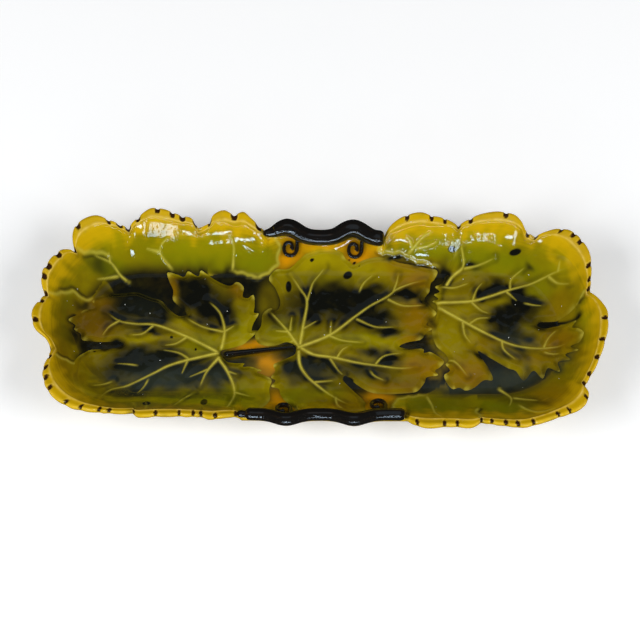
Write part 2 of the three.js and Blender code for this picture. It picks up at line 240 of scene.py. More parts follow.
def seatLine(seat):
    # the rim under a twig follows the twig's underside
    startX, endX = seat["start"][0], seat["end"][0]
    x = np.linspace(startX, endX, round(abs(endX - startX) / rimStep), endpoint=False)
    y, z, radius = twigLine(seat, x)
    y = y + seat["side"] * dish["lipWidth"] / 2
    return np.column_stack([x, y, z - radius - dish["slip"], np.zeros(len(x)), np.ones(len(x))])


def rimRun(rim):
    # x, y, z, fullness of the lobe from 0 in a crease to 1 in its middle, and 0 for no twig
    rows = []
    lines = lobeLines(rim)
    crease = dish["crest"] - dish["creaseDrop"]
    for k, line in enumerate(lines):
        share = np.linspace(0, 1, len(line))
        startZ = dish["seatHeight"] if k == 0 else crease
        endZ = dish["seatHeight"] if k == len(lines) - 1 else crease
        low = between(startZ, endZ, share)
        full = np.clip(np.sin(np.pi * share), 0, 1)
        z = low + (dish["crest"] - low) * full ** dish["lobeFullness"]
        rows.append(np.column_stack([place(line), z, full, 0 * z])[:-1])
    return np.vstack(rows)


def spinePlace(x, y):
    # way round the floor's edge, clockwise from the rear left, and distance from the spine
    root = np.clip(x, -spineHalf, spineHalf)
    right = sideLength + floorRadius * np.arctan2(x - spineHalf, y)
    left = 2 * sideLength + endLength + floorRadius * np.arctan2(-x - spineHalf, -y)
    way = np.where(y >= 0, x + spineHalf, sideLength + endLength + spineHalf - x)
    way = np.where(x > spineHalf, right, np.where(x < -spineHalf, left, way))
    return way, np.hypot(x - root, y)


def spineRay(way):
    # root on the spine and outward direction for places round the floor's edge
    turnRight = np.clip((way - sideLength) / floorRadius, 0, np.pi)
    turnLeft = np.clip((way - 2 * sideLength - endLength) / floorRadius, 0, np.pi)
    turn = turnRight + turnLeft
    front = sideLength + endLength + spineHalf - way
    root = np.where(way < sideLength + endLength, way - spineHalf, front)
    return np.clip(root, -spineHalf, spineHalf), np.sin(turn), np.cos(turn)


rim = np.vstack([rimRun(rightRim), seatLine(frontSeat), rimRun(leftRim), seatLine(rearSeat)])
rimWay, rimReach = spinePlace(rim[:, 0], rim[:, 1])
rimGrid = {
    "run": rimReach - dish["lipWidth"] - floorRadius,
    "rise": rim[:, 2] - dish["lipRound"] - floorTop,
    "reach": rimReach,
    "top": rim[:, 2],
    "full": rim[:, 3],
    "seat": rim[:, 4],
}
easeCount = round(dish["easeSpan"] / rimStep)
for name in ("run", "rise", "seat"):
    row = rimGrid[name]
    for _ in range(2):
        wrapped = np.concatenate([row[-easeCount:], row, row[:easeCount]])
        row = np.convolve(wrapped, np.ones(2 * easeCount + 1) / (2 * easeCount + 1), "valid")
    rimGrid["low" + name.capitalize()] = row
bulge = rimGrid["run"] - rimGrid["lowRun"]
rimGrid["band"] = np.clip(dish["bandWidth"] + dish["bandGrowth"] * bulge, *dish["bandRange"])
hold = between(dish["lobeHold"], 1, ease(rimGrid["lowSeat"], 0.3, 0.5))
for name, low in (("run", "lowRun"), ("rise", "lowRise")):
    rimGrid[name] = between(rimGrid[low], rimGrid[name], hold)
rimOrder = np.argsort(rimWay)


def columnAt(way):
    ways = rimWay[rimOrder]
    return {name: np.interp(way, ways, row[rimOrder], period=edgeLength) for name, row in rimGrid.items()}


def wallRadius(column, share):
    return floorRadius + share * between(column["lowRun"], column["run"], share)


def wallTop(column, share):
    soft = dish["floorFillet"] / column["run"]
    climb = (np.hypot(share, soft) - soft) / (np.hypot(1, soft) - soft)
    sag = dish["wallSag"] * 6.75 * share ** 2 * (1 - share)
    return floorTop + climb * between(column["lowRise"], column["rise"], share) - sag


def wallShare(column, radius):
    # the inverse of wallRadius
    out = np.maximum(radius - floorRadius, 0)
    spread = column["run"] - column["lowRun"]
    root = np.sqrt(np.maximum(column["lowRun"] ** 2 + 4 * spread * out, 0))
    return np.clip(2 * out / np.maximum(column["lowRun"] + root, 1e-6), 0, 1)


def groundHeight(x, y):
    # height of the plain inner face over a plan point
    way, radius = spinePlace(x, y)
    column = columnAt(way)
    return wallTop(column, wallShare(column, radius))


# Leaves, veins and glaze washes, all drawn in plan

leaves = {
    "left_leaf": {
        "outline": [
            [-59, -12.5], [-53, -10.5], [-46, -8], [-42, -4.5], [-38.5, -0.5], [-40.8, 1.2], [-39.8, 6],
            [-36.8, 12.3], [-39.6, 13.2], [-39.2, 18], [-40, 24.8], [-43.5, 22.8], [-46.5, 24], [-46, 30],
            [-50, 33.6], [-54, 31], [-59, 32.5], [-64, 35.5], [-68, 38.6], [-72, 40.5], [-73.6, 37.4],
            [-79.5, 40.2], [-82, 37], [-86, 38.4], [-92, 39.6], [-91, 34], [-88.5, 28], [-88.5, 22],
            [-86, 18.5], [-80, 12.5], [-84, 10.8], [-89, 14], [-95, 20.8], [-101, 23], [-110, 26.5],
            [-118, 26], [-125, 25.4], [-131, 24.6], [-137, 20.8], [-135, 16.6], [-141, 15], [-145, 11],
            [-150, 5.6], [-146.2, 3.6], [-146.5, 0.6], [-143, -1.2], [-141.8, -5], [-136, -6], [-130, -6.4],
            [-120, -6.2], [-117.5, -8], [-122, -10.2], [-132, -11], [-138, -12], [-143, -16.5], [-146, -24],
            [-147, -33], [-143, -42], [-133, -49], [-118, -51.5], [-104, -49], [-92, -52], [-80, -54],
            [-66, -52], [-52, -55], [-38, -54], [-32, -50], [-29.5, -44], [-30, -37], [-28.8, -31],
            [-33, -28], [-37.5, -26], [-34.6, -25], [-41, -22.4], [-45.8, -22.4], [-45, -20.2], [-51, -20],
            [-56, -18.6],
        ],
        "mainVeins": [
            [[-60, -14], [-78, -4], [-97, 4], [-110, 5], [-120, 7], [-128, 13]],
            [[-60, -14], [-78, -18.5], [-90, -22.5], [-98, -27], [-113, -35], [-123, -39], [-129, -49]],
            [[-59, -13], [-57, 0], [-59, 10], [-62, 15], [-67, 20]],
            [[-60, -17], [-67, -26], [-71, -36]],
            [[-60, -18], [-55, -26], [-51, -36], [-51, -45], [-56, -58]],
        ],
        "sideVeins": [
            [[-80, -4], [-86, -8], [-93, -9]],
            [[-100, 3.5], [-106, -1.5], [-113, -2]],
            [[-78, -18], [-84, -14], [-94, -12]],
            [[-79, -20], [-82, -28]],
            [[-67, -25], [-78, -30]],
            [[-55, -26], [-49, -28]],
            [[-50, -40], [-41, -43]],
            [[-57, 0], [-51, 4]],
            [[-58, 0], [-70, 3], [-80, 9]],
            [[-120, 7], [-126, 3], [-130, -3]],
        ],
        "looseVeins": [
            [[-101, -30], [-104, -36], [-108, -41]],
            [[-107, -22.4], [-114, -21.4], [-121, -21]],
            [[-74, -40], [-80, -46], [-87, -56]],
            [[-122, -32], [-129, -36], [-134, -38]],
        ],
    },
    "centre_leaf": {
        "outline": [
            [-15, -9], [-20, -6.5], [-26, -8.5], [-32, -9], [-37, -7], [-39, -2], [-35.5, 4], [-34.5, 12],
            [-30, 16], [-26, 14.5], [-24, 20], [-27, 29], [-31, 35.5], [-27, 41], [-19, 41.6], [-13, 46],
            [-8, 49.4], [0, 51.3], [8, 51.3], [14, 49.4], [17.5, 46], [20, 43.6], [26, 46], [33, 47.3],
            [40, 46.8], [47, 44.6], [55, 43.4], [63, 42], [70.5, 40.4], [68.6, 35], [66.5, 32.5], [65.5, 27],
            [62.5, 22], [65.5, 17.5], [69.5, 12.6], [65.5, 8.4], [63.4, 5], [67, 2.6], [63, -0.6],
            [59.8, -4.8], [52, -6.6], [47, -9.2], [52, -10.6], [61, -10.8], [61.6, -13.4], [66, -13],
            [73.2, -18.6], [71, -22.8], [68, -25], [69.6, -28], [63, -29.4], [61.5, -33], [56.5, -38.8],
            [48, -40.2], [39, -40.6], [30, -39.4], [22, -34.6], [15, -28.4], [13.8, -31.5], [19.5, -38],
            [24.5, -44], [27.5, -50], [28, -55], [14, -57], [0, -57], [-8.5, -56.4], [-10, -52.5],
            [-13.5, -54.4], [-17, -50.5], [-21, -46], [-23.5, -41], [-24.6, -37], [-29, -35.2],
            [-26.6, -31.6], [-29.2, -29.4], [-26.8, -25.4], [-27.8, -21.2], [-23.6, -18.8], [-19, -16.5],
            [-15, -14],
        ],
        "mainVeins": [
            [[-13, -10], [-20, 1], [-30, 13]],
            [[-12, -8], [-10, 5], [-8, 20], [-12, 28], [-18, 38]],
            [[-12, -10], [6, -2], [21, 10], [30, 17], [40, 23], [46, 28], [55, 32], [63, 34]],
            [[-11, -11], [-4, -15], [8, -17], [20, -20], [32, -22], [47, -24], [57, -23]],
            [[-13, -13], [-12, -22], [-8, -29], [-3, -34], [10, -45], [17, -50]],
        ],
        "sideVeins": [
            [[-20, 0], [-27, 0.5]],
            [[-18, 1], [-17, 10]],
            [[-10, 2], [-2, 7]],
            [[-8, 20], [-6, 27], [-4, 33], [3, 42]],
            [[6, -2], [6.5, 7]],
            [[6, -3], [14, -6], [25, -7]],
            [[22, 8], [33, 3], [45, 3]],
            [[41, 21], [50, 17], [62, 17.5]],
            [[44, 27], [46, 33], [47, 38]],
            [[10, -17], [13, -12], [17, -9.5]],
            [[33, -21], [38, -16], [48, -14]],
            [[6, -18], [11, -26], [14, -28]],
            [[-3, -33], [8, -32]],
            [[-16, -6], [-28, -9], [-36, -7]],
            [[9, -44], [10, -50], [14, -54]],
        ],
        "looseVeins": [
            [[23, 25], [26, 32], [32, 38]],
            [[29, -25], [32, -29], [38, -32]],
            [[24, -46], [30, -50], [35, -55]],
        ],
    },
    "right_leaf": {
        "outline": [
            [69.5, 18.4], [67.2, 20.6], [70.8, 22], [68.2, 25], [71.6, 27], [69, 30.2], [73, 32.5], [75, 37],
            [77.5, 42], [82, 50], [90, 54], [104, 53], [118, 51], [132, 47.5], [145, 42], [152, 34],
            [155, 26], [156.5, 19], [153.6, 14.4], [151, 11.6], [147, 9.3], [140, 7], [131.5, 6.6],
            [129.5, 4.4], [134, 2.6], [140, 3.8], [146, 4.6], [152, 4], [149.6, 0.8], [152.8, -1.4],
            [155.6, -6], [153, -11], [148.2, -11.8], [152.2, -16.4], [145.2, -16], [147.2, -21],
            [140.8, -20.4], [141.2, -28], [134.8, -23.6], [131.4, -30.6], [126.2, -25.2], [120.2, -31.6],
            [115.6, -25.4], [111, -23.5], [104, -19], [98.5, -15.4], [93.6, -12.2], [96.5, -18], [100, -24],
            [102, -31], [96.5, -31.4], [91, -36], [86, -38], [82, -36.2], [78, -37], [74.6, -33], [73.2, -28],
            [76.6, -25], [74.2, -21], [76, -18.4], [74, -14], [69, -9], [66.5, 0], [68.5, 8], [70, 14],
        ],
        "mainVeins": [
            [[70, 19], [90, 20], [101, 23], [115, 28], [137, 34], [148, 35]],
            [[69, 17], [85, 7], [100, -2], [112, -8], [122, -10.5], [133, -11], [148, -9]],
            [[76, 31], [80, 37], [86, 42], [85, 50], [83, 57]],
        ],
        "sideVeins": [
            [[91, 20], [94, 28], [98, 33]],
            [[91, 19], [96, 14], [101, 12]],
            [[114, 28], [115, 35], [123, 40.5]],
            [[112, 26], [118, 20]],
            [[137, 33], [142, 28.5], [149, 26]],
            [[142, 35], [143, 40]],
            [[85, 6], [86, -2], [90, -8]],
            [[89, 5], [94, 8.5], [101, 9]],
            [[108, -7], [109, -12], [116, -18.5]],
            [[133, -10], [136, -4], [141, 1]],
            [[87, 41], [95, 42.5], [105, 46]],
        ],
        "looseVeins": [
            [[121, 19], [127, 17.5], [133, 17]],
            [[132, -13], [136, -14.5], [142, -15]],
            [[73, -18], [80, -20], [87, -29]],
            [[71, 30], [80, 29], [90, 32.5]],
        ],
    },
}
wallVeins = [
    [[51, 47], [55, 50], [62, 56], [68, 58]],
    [[55, 50], [54, 54], [51, 56]],
    [[56, 50.5], [64, 51.5], [71, 54]],
    [[-113, 32], [-120, 37], [-126, 43], [-137, 45]],
    [[-126, 42], [-127, 48]],
    [[-120, 37], [-135, 33]],
    [[-88, 40], [-96, 48], [-95, 53], [-90, 56]],
    [[-96, 49], [-105, 51]],
    [[-53, 39], [-52, 52], [-55, 58]],
    [[62, -41], [65, -50], [67, -59], [72, -63.5]],
    [[104, -36], [112, -44], [110, -53]],
    [[112, -44], [128, -49]],
    [[115, -50], [120, -56], [127, -60], [138, -58]],
]
rimNicks = [
    [-66, 62], [-51.5, 65.5], [-37, 60], [-109, 64], [-97.5, 68.5], [-88.5, 66], [-82.5, 64.5], [-75, 61.5],
    [-115, 59.5], [-120, 60], [-127, 63], [-145, 59], [-147, 45], [-155.5, 39.5], [-162, 32], [-165, 26],
    [-162, 15.5], [-165, 10], [-167, -3.5], [-157, -25], [-158, -32], [-160.5, -41], [-158, -48],
    [-148, -57.5], [-139, -60.5], [-128, -61], [-122.5, -62], [-108, -60.5], [-95, -63.5], [-81.5, -63],
    [-73.5, -63], [-69, -65], [-60.5, -66.5], [-49, -64], [52, 65], [66.5, 64.5], [74.5, 63.5], [83, 61],
    [90, 63.5], [111, 66], [124, 55], [129, 53.5], [143, 55], [150.5, 52], [154, 47], [159, 32.5],
    [158.5, 24], [158, 18.5], [166, -2], [164.5, -16], [161, -27], [155, -36], [151.5, -41], [153.5, -51],
    [144.5, -62.5], [138, -65.5], [123, -70], [114, -70.5], [107, -68.5], [99, -67], [93, -66], [79, -70],
    [71.5, -70], [56, -70.5],
]

# Edges of the leaves that are moulded into the walls, each with its leaf on the left
wallEdges = [
    [[-56, 40], [-45, 38], [-37, 36], [-26, 42.5], [-25, 47], [-23.5, 53], [-27, 57], [-34, 59]],
    [[38, 58], [36.5, 54], [34, 50], [40, 48.5], [50, 48], [56, 45], [66, 43], [73, 41]],
    [[152, 12.5], [154.5, 16], [157, 18], [162, 17.5]],
    [[-136, 24], [-141, 21], [-146, 23.5], [-150, 22.5], [-156, 19], [-163, 16]],
    [[-148, 45], [-140, 44.5], [-133, 46], [-124, 45]],
    [[64, -40], [56, -41.5], [48, -43], [43.5, -46], [42, -52], [46, -58], [50, -63]],
    [[-138, -22], [-148, -22.5], [-157, -21]],
    [[92, -67], [93.5, -62], [91.5, -58], [92.5, -53]],
]

# Washes of glaze: middle, reach along and across, turn in degrees, depth
darkWash = [
    [-108, 17, 17, 10, -6, 1.0], [-97, 10, 9, 6, -20, 0.9], [-115, 27, 17, 4.5, 4, 0.95],
    [-101, 1, 9, 2.2, -12, 0.8], [-75, 27, 12, 11, 0, 1.0], [-83, 27, 4, 8, 10, 0.75],
    [-52, 36, 13, 5, -14, 1.0], [-68, 14, 8, 6, -15, 0.8], [-56, 12, 5.5, 9, 0, 0.85],
    [-68, 4, 8, 4, -25, 0.5], [-108, -17, 15, 8, 0, 1.0], [-92, -16, 8, 7, 0, 0.75],
    [-86, -31, 21, 7, 5, 0.85], [-61, -28, 6, 9, 0, 0.85], [-72, -24, 8, 4, 20, 0.6],
    [-114, -42, 11, 6, 32, 0.6], [-48, -28, 8, 4, 0, 0.5], [-125, -27, 10, 8, 0, 0.45],
    [-90, -42, 28, 3, 0, 0.35], [-130, -9, 13, 2.2, -3, 0.95], [-121, -8.5, 4, 2.8, 0, 1.0],
    [-85, 15, 7, 2.6, -38, 1.0], [-146, -3, 5, 5, 30, 0.8], [-141, 17, 5, 2.5, 30, 0.7],
    [-8, 18, 8, 12, 0, 0.85], [-18, 18, 5, 10, 0, 0.5], [-31, 22, 6, 13, 10, 0.5], [-27, 9, 8, 8, 0, 0.5],
    [4, 23, 9, 10, 0, 0.95], [15, 20, 9, 11, 0, 1.0], [30, 25, 11, 6, 15, 0.95], [33, 10, 12, 7, -10, 0.95],
    [40, -0.5, 9, 2.6, 0, 0.85], [52, 25, 10, 4, 5, 1.0], [62, 20, 6, 4, -20, 0.7], [-3, 11, 5, 5, 0, 0.6],
    [31, -13.5, 8, 2.8, -5, 0.85], [41, -18, 7, 4, 0, 0.85], [27, -26, 14, 5, -8, 0.55],
    [-10, -21, 7, 6, 0, 0.8], [2, -22, 10, 6, 0, 0.75], [-17, -24, 6, 7, 0, 0.85], [-6, -30, 10, 4, 0, 0.5],
    [8, -37, 14, 3, 0, 0.35], [66, 8, 3, 7, 0, 0.75], [63, -4, 6, 3, 0, 0.7], [56, -9.5, 8, 1.6, 0, 0.95],
    [46, 47, 7, 1.4, 0, 0.95], [62, 43.5, 9, 1.8, -8, 0.6], [74, 36, 4.5, 8, -8, 1.0],
    [72, 24, 3, 6, 0, 0.75], [105, 29, 9, 6, 10, 0.95], [97, 24, 5, 5, 30, 0.8], [119, 24, 6, 5, -30, 0.95],
    [128, 20, 7, 3, 0, 0.65], [110, 8, 10, 8.5, 10, 1.0], [118, 14, 10, 7, 30, 0.8], [127, 12, 6, 6, 0, 0.55],
    [112, -3, 9, 5, 0, 0.65], [124, -5.5, 5, 3.5, 0, 0.85], [95, -16, 5, 2.6, -45, 1.0],
    [107, -14, 8, 4, -20, 0.5], [120, -16, 4, 6, 20, 0.6], [90, 42.5, 4, 2, 0, 0.7],
    [125, 39, 3, 2.2, -40, 0.6], [118, -30, 20, 5, 4, 0.95], [145, -20, 7, 3, 35, 1.0],
    [152, -12, 2.5, 7, -15, 0.9], [140, 5, 11, 1.5, 5, 1.0], [132, 3, 4, 2.5, 0, 0.9],
    [152, 7, 3, 2.5, 40, 0.8], [80, -38, 18, 4, 0, 0.75], [68, -32, 6, 3, 0, 0.85],
    [104, -24, 5, 4, -30, 0.9], [66, -49, 16, 8, 0, 0.25], [112, -45, 10, 6, -20, 0.5],
    [128, -50, 9, 4, -25, 0.55], [-132, 41, 8, 5, -15, 0.6], [-58, -38, 5, 4, 0, 0.4],
    [-134, 8, 15, 11, 0, 0.34], [-152, -4, 7, 24, 0, 0.3], [14, 17, 15, 9, 0, 0.6], [46, -34, 16, 6, 0, 0.25],
    [-103, -26, 26, 7, 6, 0.75], [-96, -36, 24, 4, 8, 0.5], [-62, 16, 13, 13, 0, 0.5],
    [-90, 24, 24, 9, 0, 0.5], [-4, -28, 18, 8, 0, 0.45], [116, 2, 16, 12, 0, 0.45],
    [-118, 10, 12, 10, 0, 0.4], [-76, -24, 18, 9, 0, 0.4], [20, 8, 26, 9, 10, 0.35],
    [28, -24, 18, 7, -6, 0.35],
]
greenWash = [
    [-75, 48, 34, 8, -3, 1.0], [-38, 45, 14, 8, 0, 0.8], [98, 47, 24, 7, -4, 0.8],
    [-128, 42, 14, 7, -15, 0.9], [66, 52, 16, 6, 10, 0.8], [66, -52, 24, 9, 0, 0.9],
    [106, -52, 18, 8, -8, 0.95], [-75, -48, 32, 8, 0, 0.8], [156, -4, 4, 16, 0, 1.0],
    [-154, 14, 7, 14, 0, 0.5], [130, 27, 12, 8, 20, 0.6], [120, 40, 20, 5, -10, 0.6], [0, 35, 20, 6, 0, 0.3],
    [25, -6, 22, 4, -4, 0.6], [-46, -3, 8, 12, 0, 0.6], [-70, -10, 14, 8, 0, 0.5], [-20, -46, 10, 8, 0, 0.6],
    [0, -40, 20, 5, 0, 0.4], [-22, 0, 12, 8, 0, 0.5], [-50, -44, 12, 10, 0, 0.6],
]
yellowWash = [
    [-43, 2, 5, 14, -12, 0.6], [-52, -7, 10, 5, -30, 0.6], [-107, -5.5, 9, 2.8, 0, 1.0],
    [-85, 8, 6, 4, -30, 0.6], [-73, 3, 8, 3, -25, 0.4], [0, 46, 16, 5, 0, 0.9], [-20, 39, 7, 5, 0, 0.6],
    [28, 41, 14, 5, 0, 0.7], [46, -9, 9, 2.5, 0, 0.7], [30, -6.5, 18, 2.5, -4, 0.6], [-22, -4, 10, 5, 0, 0.4],
    [78, -5, 9, 13, 0, 0.35], [108, 19, 5, 4, 30, 0.8], [124, 3, 4, 3.5, 0, 0.8], [-138, -13, 6, 2.5, 0, 0.5],
    [118, -26, 6, 3, -20, 0.5], [-88, 37.5, 5, 1.6, -5, 1.0], [-77, 38.5, 3.4, 1.4, -8, 1.0],
    [-68, 38, 5, 1.8, -25, 1.0], [70, 25, 3, 6, 0, 0.8], [-132, 55, 16, 8, 0, 0.9], [-70, 53, 32, 7, 0, 0.5],
    [-92, -53, 42, 6, 0, 0.4], [141, -53, 16, 8, -25, 0.6], [70, 56, 30, 5, 0, 0.5], [102, 58, 18, 7, 0, 0.9],
    [145, 40, 10, 14, 20, 0.8], [157, -6, 5, 15, 0, 0.95], [-40, -21, 6, 2, -15, 0.8],
    [-31, -36, 3, 8, 0, 0.6], [44, -50, 4, 8, 0, 0.6],
]
amberWash = [
    [-134, 4, 12, 9, 0, 0.9], [-131, 18, 8, 6, 0, 0.85], [-141, 10, 7, 5, 0, 0.6], [-88, 27, 4, 8, 12, 0.85],
    [-95, 34, 9, 4, 0, 0.6], [-50, 27, 4, 6, 0, 0.7], [-150, -30, 10, 14, 0, 0.45], [57, 9, 9, 10, 0, 0.95],
    [58, 34, 10, 6, 10, 0.9], [45, 41, 8, 4, 0, 0.4], [60, -23, 12, 9, 0, 0.9], [45, -36, 18, 4, 0, 0.7],
    [12, -53, 16, 4, 0, 0.5], [54, -6, 9, 2, 0, 0.8], [20, -44, 8, 6, -30, 0.4], [88, -28, 12, 9, 0, 0.85],
    [141, -6, 11, 7, 0, 0.75], [130, -18, 14, 5, 0, 0.4], [143, 16, 9, 8, 0, 0.4], [100, -8, 12, 5, 0, 0.35],
    [-158, 0, 8, 28, 0, 0.4], [140, -50, 18, 12, -25, 0.85], [158, -24, 8, 16, 15, 0.6],
    [52, 43, 16, 3, -5, 0.5],
]
orangeWash = [
    [-42, -10, 13, 4, 8, 1.0], [-31, -21, 8, 7, 0, 1.0], [-20, 47, 9, 7, 15, 1.0], [23, 49, 10, 6, -10, 1.0],
    [-25, -48, 6, 11, 10, 1.0], [34, -46, 8, 9, 0, 1.0], [0, 54, 22, 3, 0, 0.6], [-12, -56, 8, 4, 0, 0.7],
]
# Places where a blue-grey sheen is painted on the dark glaze
sheenWash = [
    [-98, -33, 34, 9, 4, 1.0], [-106, -16, 14, 7, 0, 0.2], [-60, -32, 9, 8, 0, 0.7], [-8, -26, 16, 8, 0, 0.3],
    [26, -25, 14, 6, 0, 0.3], [84, -37, 22, 5, 0, 1.0], [116, -30, 22, 7, 4, 1.0], [144, -21, 8, 5, 35, 0.8],
    [118, -8, 14, 8, 0, 0.6], [-106, 14, 14, 9, 0, 0.2],
]
# Drops of dark glaze with a crisp edge
glazeDrops = [
    [-5, 45.5, 1.3, 0.9, 20], [16.5, 37, 3.0, 2.3, 35], [-19, 29.5, 1.8, 3.8, 0], [16.5, -31.3, 3.3, 2, -15],
    [79, 50.5, 2.2, 1.5, 0], [117, 48.2, 3.6, 1.8, 8], [-101.5, -51, 2.4, 2.2, 0], [-68, -49.5, 2, 2.8, -15],
    [-88.5, -4, 0.9, 0.9, 0], [-74, -12, 0.7, 0.9, 0], [-134, -13, 0.8, 0.6, 0], [20.5, 44.5, 1.1, 0.6, 30],
    [17.5, 46, 0.6, 0.4, 0], [23.5, 42.5, 0.5, 0.4, 0],
]
# Relief that the dark glaze has run off
bareWash = [
    [-87, 37.6, 5.5, 1.9, -8, 0.9], [-77, 38.6, 4, 1.6, -10, 0.9], [-68.5, 38, 5.5, 2.1, -28, 0.9],
    [-50, 31, 4, 3, 0, 0.8], [-88, 27, 2.6, 7, 12, 0.8], [-42, 22.5, 3, 3, 0, 0.8],
    [-38.5, 12.5, 3, 3, 0, 0.7], [-62, 33, 5, 2.4, -20, 0.6], [67, 34, 3, 4, 0, 0.7],
    [67, 12.5, 4, 3, 0, 0.8], [65, 2.5, 3, 2, 0, 0.8], [71, -18, 4, 4, 0, 0.8], [67, -28, 4, 2, 0, 0.8],
    [85, -35.5, 9, 2.4, 0, 0.8], [98, -29, 4, 3, 0, 0.7], [117, -26, 6, 3.5, -25, 0.85],
    [129, -26, 4, 3, 0, 0.8], [138, -23, 4, 4, 20, 0.85], [146, -17, 4, 4, 30, 0.85],
    [152, -7, 3.4, 7, -15, 0.8], [71, 24, 2.4, 8, 0, 0.7],
]
# Ground between two leaves that is no darker than they are
paleGround = [
    [69, 5, 5, 15, 0, 1.0], [74, -14, 4, 9, 0, 0.9], [68, -27, 4, 5, 0, 0.6], [-31, 20, 6, 13, 0, 0.5],
]
# Places where a leaf's edge melts into the wall
softEdges = [
    [-95, -54, 66, 9, 0, 1.0], [-149, -36, 7, 18, 0, 1.0], [116, 55, 42, 9, -6, 1.0],
    [155, 30, 6, 15, 0, 1.0],
]
glaze = {
    "warp": 1.6,  # how far the washes' edges wander
    "warpSize": 17.0,
    "poolShadeReach": 3.4,  # width of the dark glaze pool and painted shadow along a leaf's edge
    "groundDark": 0.97,  # depth of the dark glaze between leaves on the floor
    "fullDark": 0.88,  # layers of dark wash that hide the colour below
    "crispness": 0.35,  # how sharply a dark wash ends
    "veinWidth": 0.82,
    "sideVeinWidth": 0.6,
    "veinRise": 0.6,
    "edgeStep": 0.6,
}


def ovals(x, y, spots, power=1.2):
    clear = np.ones(x.shape)
    for middleX, middleY, reachX, reachY, turn, depth in spots:
        angle = math.radians(turn)
        (middleX, middleY), = place([[middleX, middleY]])
        dx, dy = x - middleX, y - middleY
        along = (dx * math.cos(angle) + dy * math.sin(angle)) / reachX
        across = (dy * math.cos(angle) - dx * math.sin(angle)) / reachY
        clear = clear * (1 - depth * np.exp(-0.8 * (along * along + across * across) ** power))
    return 1 - clear


def washes(x, y):
    # how much of each glaze lies at a plan point
    x, y = np.asarray(x, float), np.asarray(y, float)
    warpX = x + glaze["warp"] * mottle(x, y, glaze["warpSize"])
    warpY = y + glaze["warp"] * mottle(x, y, glaze["warpSize"], 1.1)
    dark = np.minimum(ovals(warpX, warpY, darkWash) / glaze["fullDark"], 1)
    drops = np.zeros(x.shape)
    for middleX, middleY, reachX, reachY, turn in glazeDrops:
        shape = ovals(x, y, [[middleX, middleY, reachX, reachY, turn, 1.0]], 3.0)
        drops = np.maximum(drops, ease(shape, 0.15, 0.75))
    return {
        "dark": between(dark, ease(dark, 0, 1), glaze["crispness"]) * (1 - ovals(x, y, bareWash)),
        "green": ovals(warpX, warpY, greenWash),
        "yellow": ovals(warpX, warpY, yellowWash),
        "amber": ovals(warpX, warpY, amberWash),
        "orange": ovals(warpX, warpY, orangeWash),
        # painted blue-grey sheen on the dark glaze
        "slateSheen": ovals(warpX, warpY, sheenWash),
        "drop": drops,
    }


def veinRelief(x, y, lines, width, start=0.0):
    # height share of the raised veins and the distance to the nearest of them
    ridge = np.zeros(x.shape)
    nearest = np.full(x.shape, 1e9)
    for line in lines:
        away, share, _ = nearLine(x, y, curveThrough(place(line), 2.0))
        slim = width * between(1.05, 0.45, share)
        rise = between(1.0, 0.5, share) * ease(1 - share, 0, 0.15) * ease(share, -0.01, start)
        ridge = np.maximum(ridge, rise * np.exp(-((away / slim) ** 2)))
        nearest = np.minimum(nearest, away)
    return ridge, nearest


def edgeSteps(x, y):
    # raised leaf edges on the walls: height, pale line on the edge, painted shadow beside it, cover by the leaf
    lift, pale, shadow, cover = (np.zeros(x.shape) for _ in range(4))
    for points in wallEdges:
        line = toothed(curveThrough(place(points), 0.7), 7.0, 0.8)
        away, share, side = nearLine(x, y, line)
        onto = away * side
        fade = ease(share, 0.0, 0.12) * ease(1 - share, 0.0, 0.12)
        lift = np.maximum(lift, fade * ease(onto, -0.9, 1.3) * np.exp(-np.maximum(onto, 0) / 7))
        pale = np.maximum(pale, fade * np.exp(-(((onto - 0.6) / 0.9) ** 2)))
        shadow = np.maximum(shadow, fade * np.exp(-(((onto + 1.3) / 1.3) ** 2)))
        cover = np.maximum(cover, ease(onto, -0.6, 0.4) * ease(-away, -14, -9))
    return lift, pale, shadow, cover


def softness(x, y):
    return ovals(x, y, softEdges, 2.0)


for leaf in leaves.values():
    leaf["edge"] = curveThrough(place(leaf["outline"]), 0.6, closed=True)


def leafCover(x, y):
    # distance into the nearest leaf, negative on the bare ground between leaves
    return np.max([depthInside(x, y, leaf["edge"]) for leaf in leaves.values()], axis=0)


# Finishes


def shade(*screenColour):
    # a colour as seen on screen, as the shader wants it
    shares = [value / 255 for value in screenColour]
    linear = [share / 12.92 if share <= 0.04 else ((share + 0.055) / 1.055) ** 2.4 for share in shares]
    return (*linear, 1)


def newFinish(name):
    material = bpy.data.materials.new(name)
    material.use_nodes = True
    return material, material.node_tree, material.node_tree.nodes["Principled BSDF"]


def stored(tree, name):
    node = tree.nodes.new("ShaderNodeAttribute")
    node.attribute_name = name
    return node.outputs["Fac"]


def uneven(tree, size, low, high, detail=3.0):
    # noise of a given size in millimetres, spread from low to high
    coords = tree.nodes.new("ShaderNodeTexCoord")
    noise = tree.nodes.new("ShaderNodeTexNoise")
    noise.inputs["Scale"].default_value = 1 / (size * mm)
    noise.inputs["Detail"].default_value = detail
    spread = tree.nodes.new("ShaderNodeMapRange")
    spread.inputs["From Min"].default_value = 0.3
    spread.inputs["From Max"].default_value = 0.7
    spread.inputs["To Min"].default_value = low
    spread.inputs["To Max"].default_value = high
    tree.links.new(coords.outputs["Object"], noise.inputs["Vector"])
    tree.links.new(noise.outputs["Fac"], spread.inputs["Value"])
    return spread.outputs["Result"]


def glintSpecks(tree, spacing, size):
    # white dots painted as glints off pinholes in the glaze, spaced and sized in millimetres
    coords = tree.nodes.new("ShaderNodeTexCoord")
    cells = tree.nodes.new("ShaderNodeTexVoronoi")
    cells.inputs["Scale"].default_value = 1 / (spacing * mm)
    tree.links.new(coords.outputs["Object"], cells.inputs["Vector"])
    return maths(tree, "LESS_THAN", cells.outputs["Distance"], size / spacing)


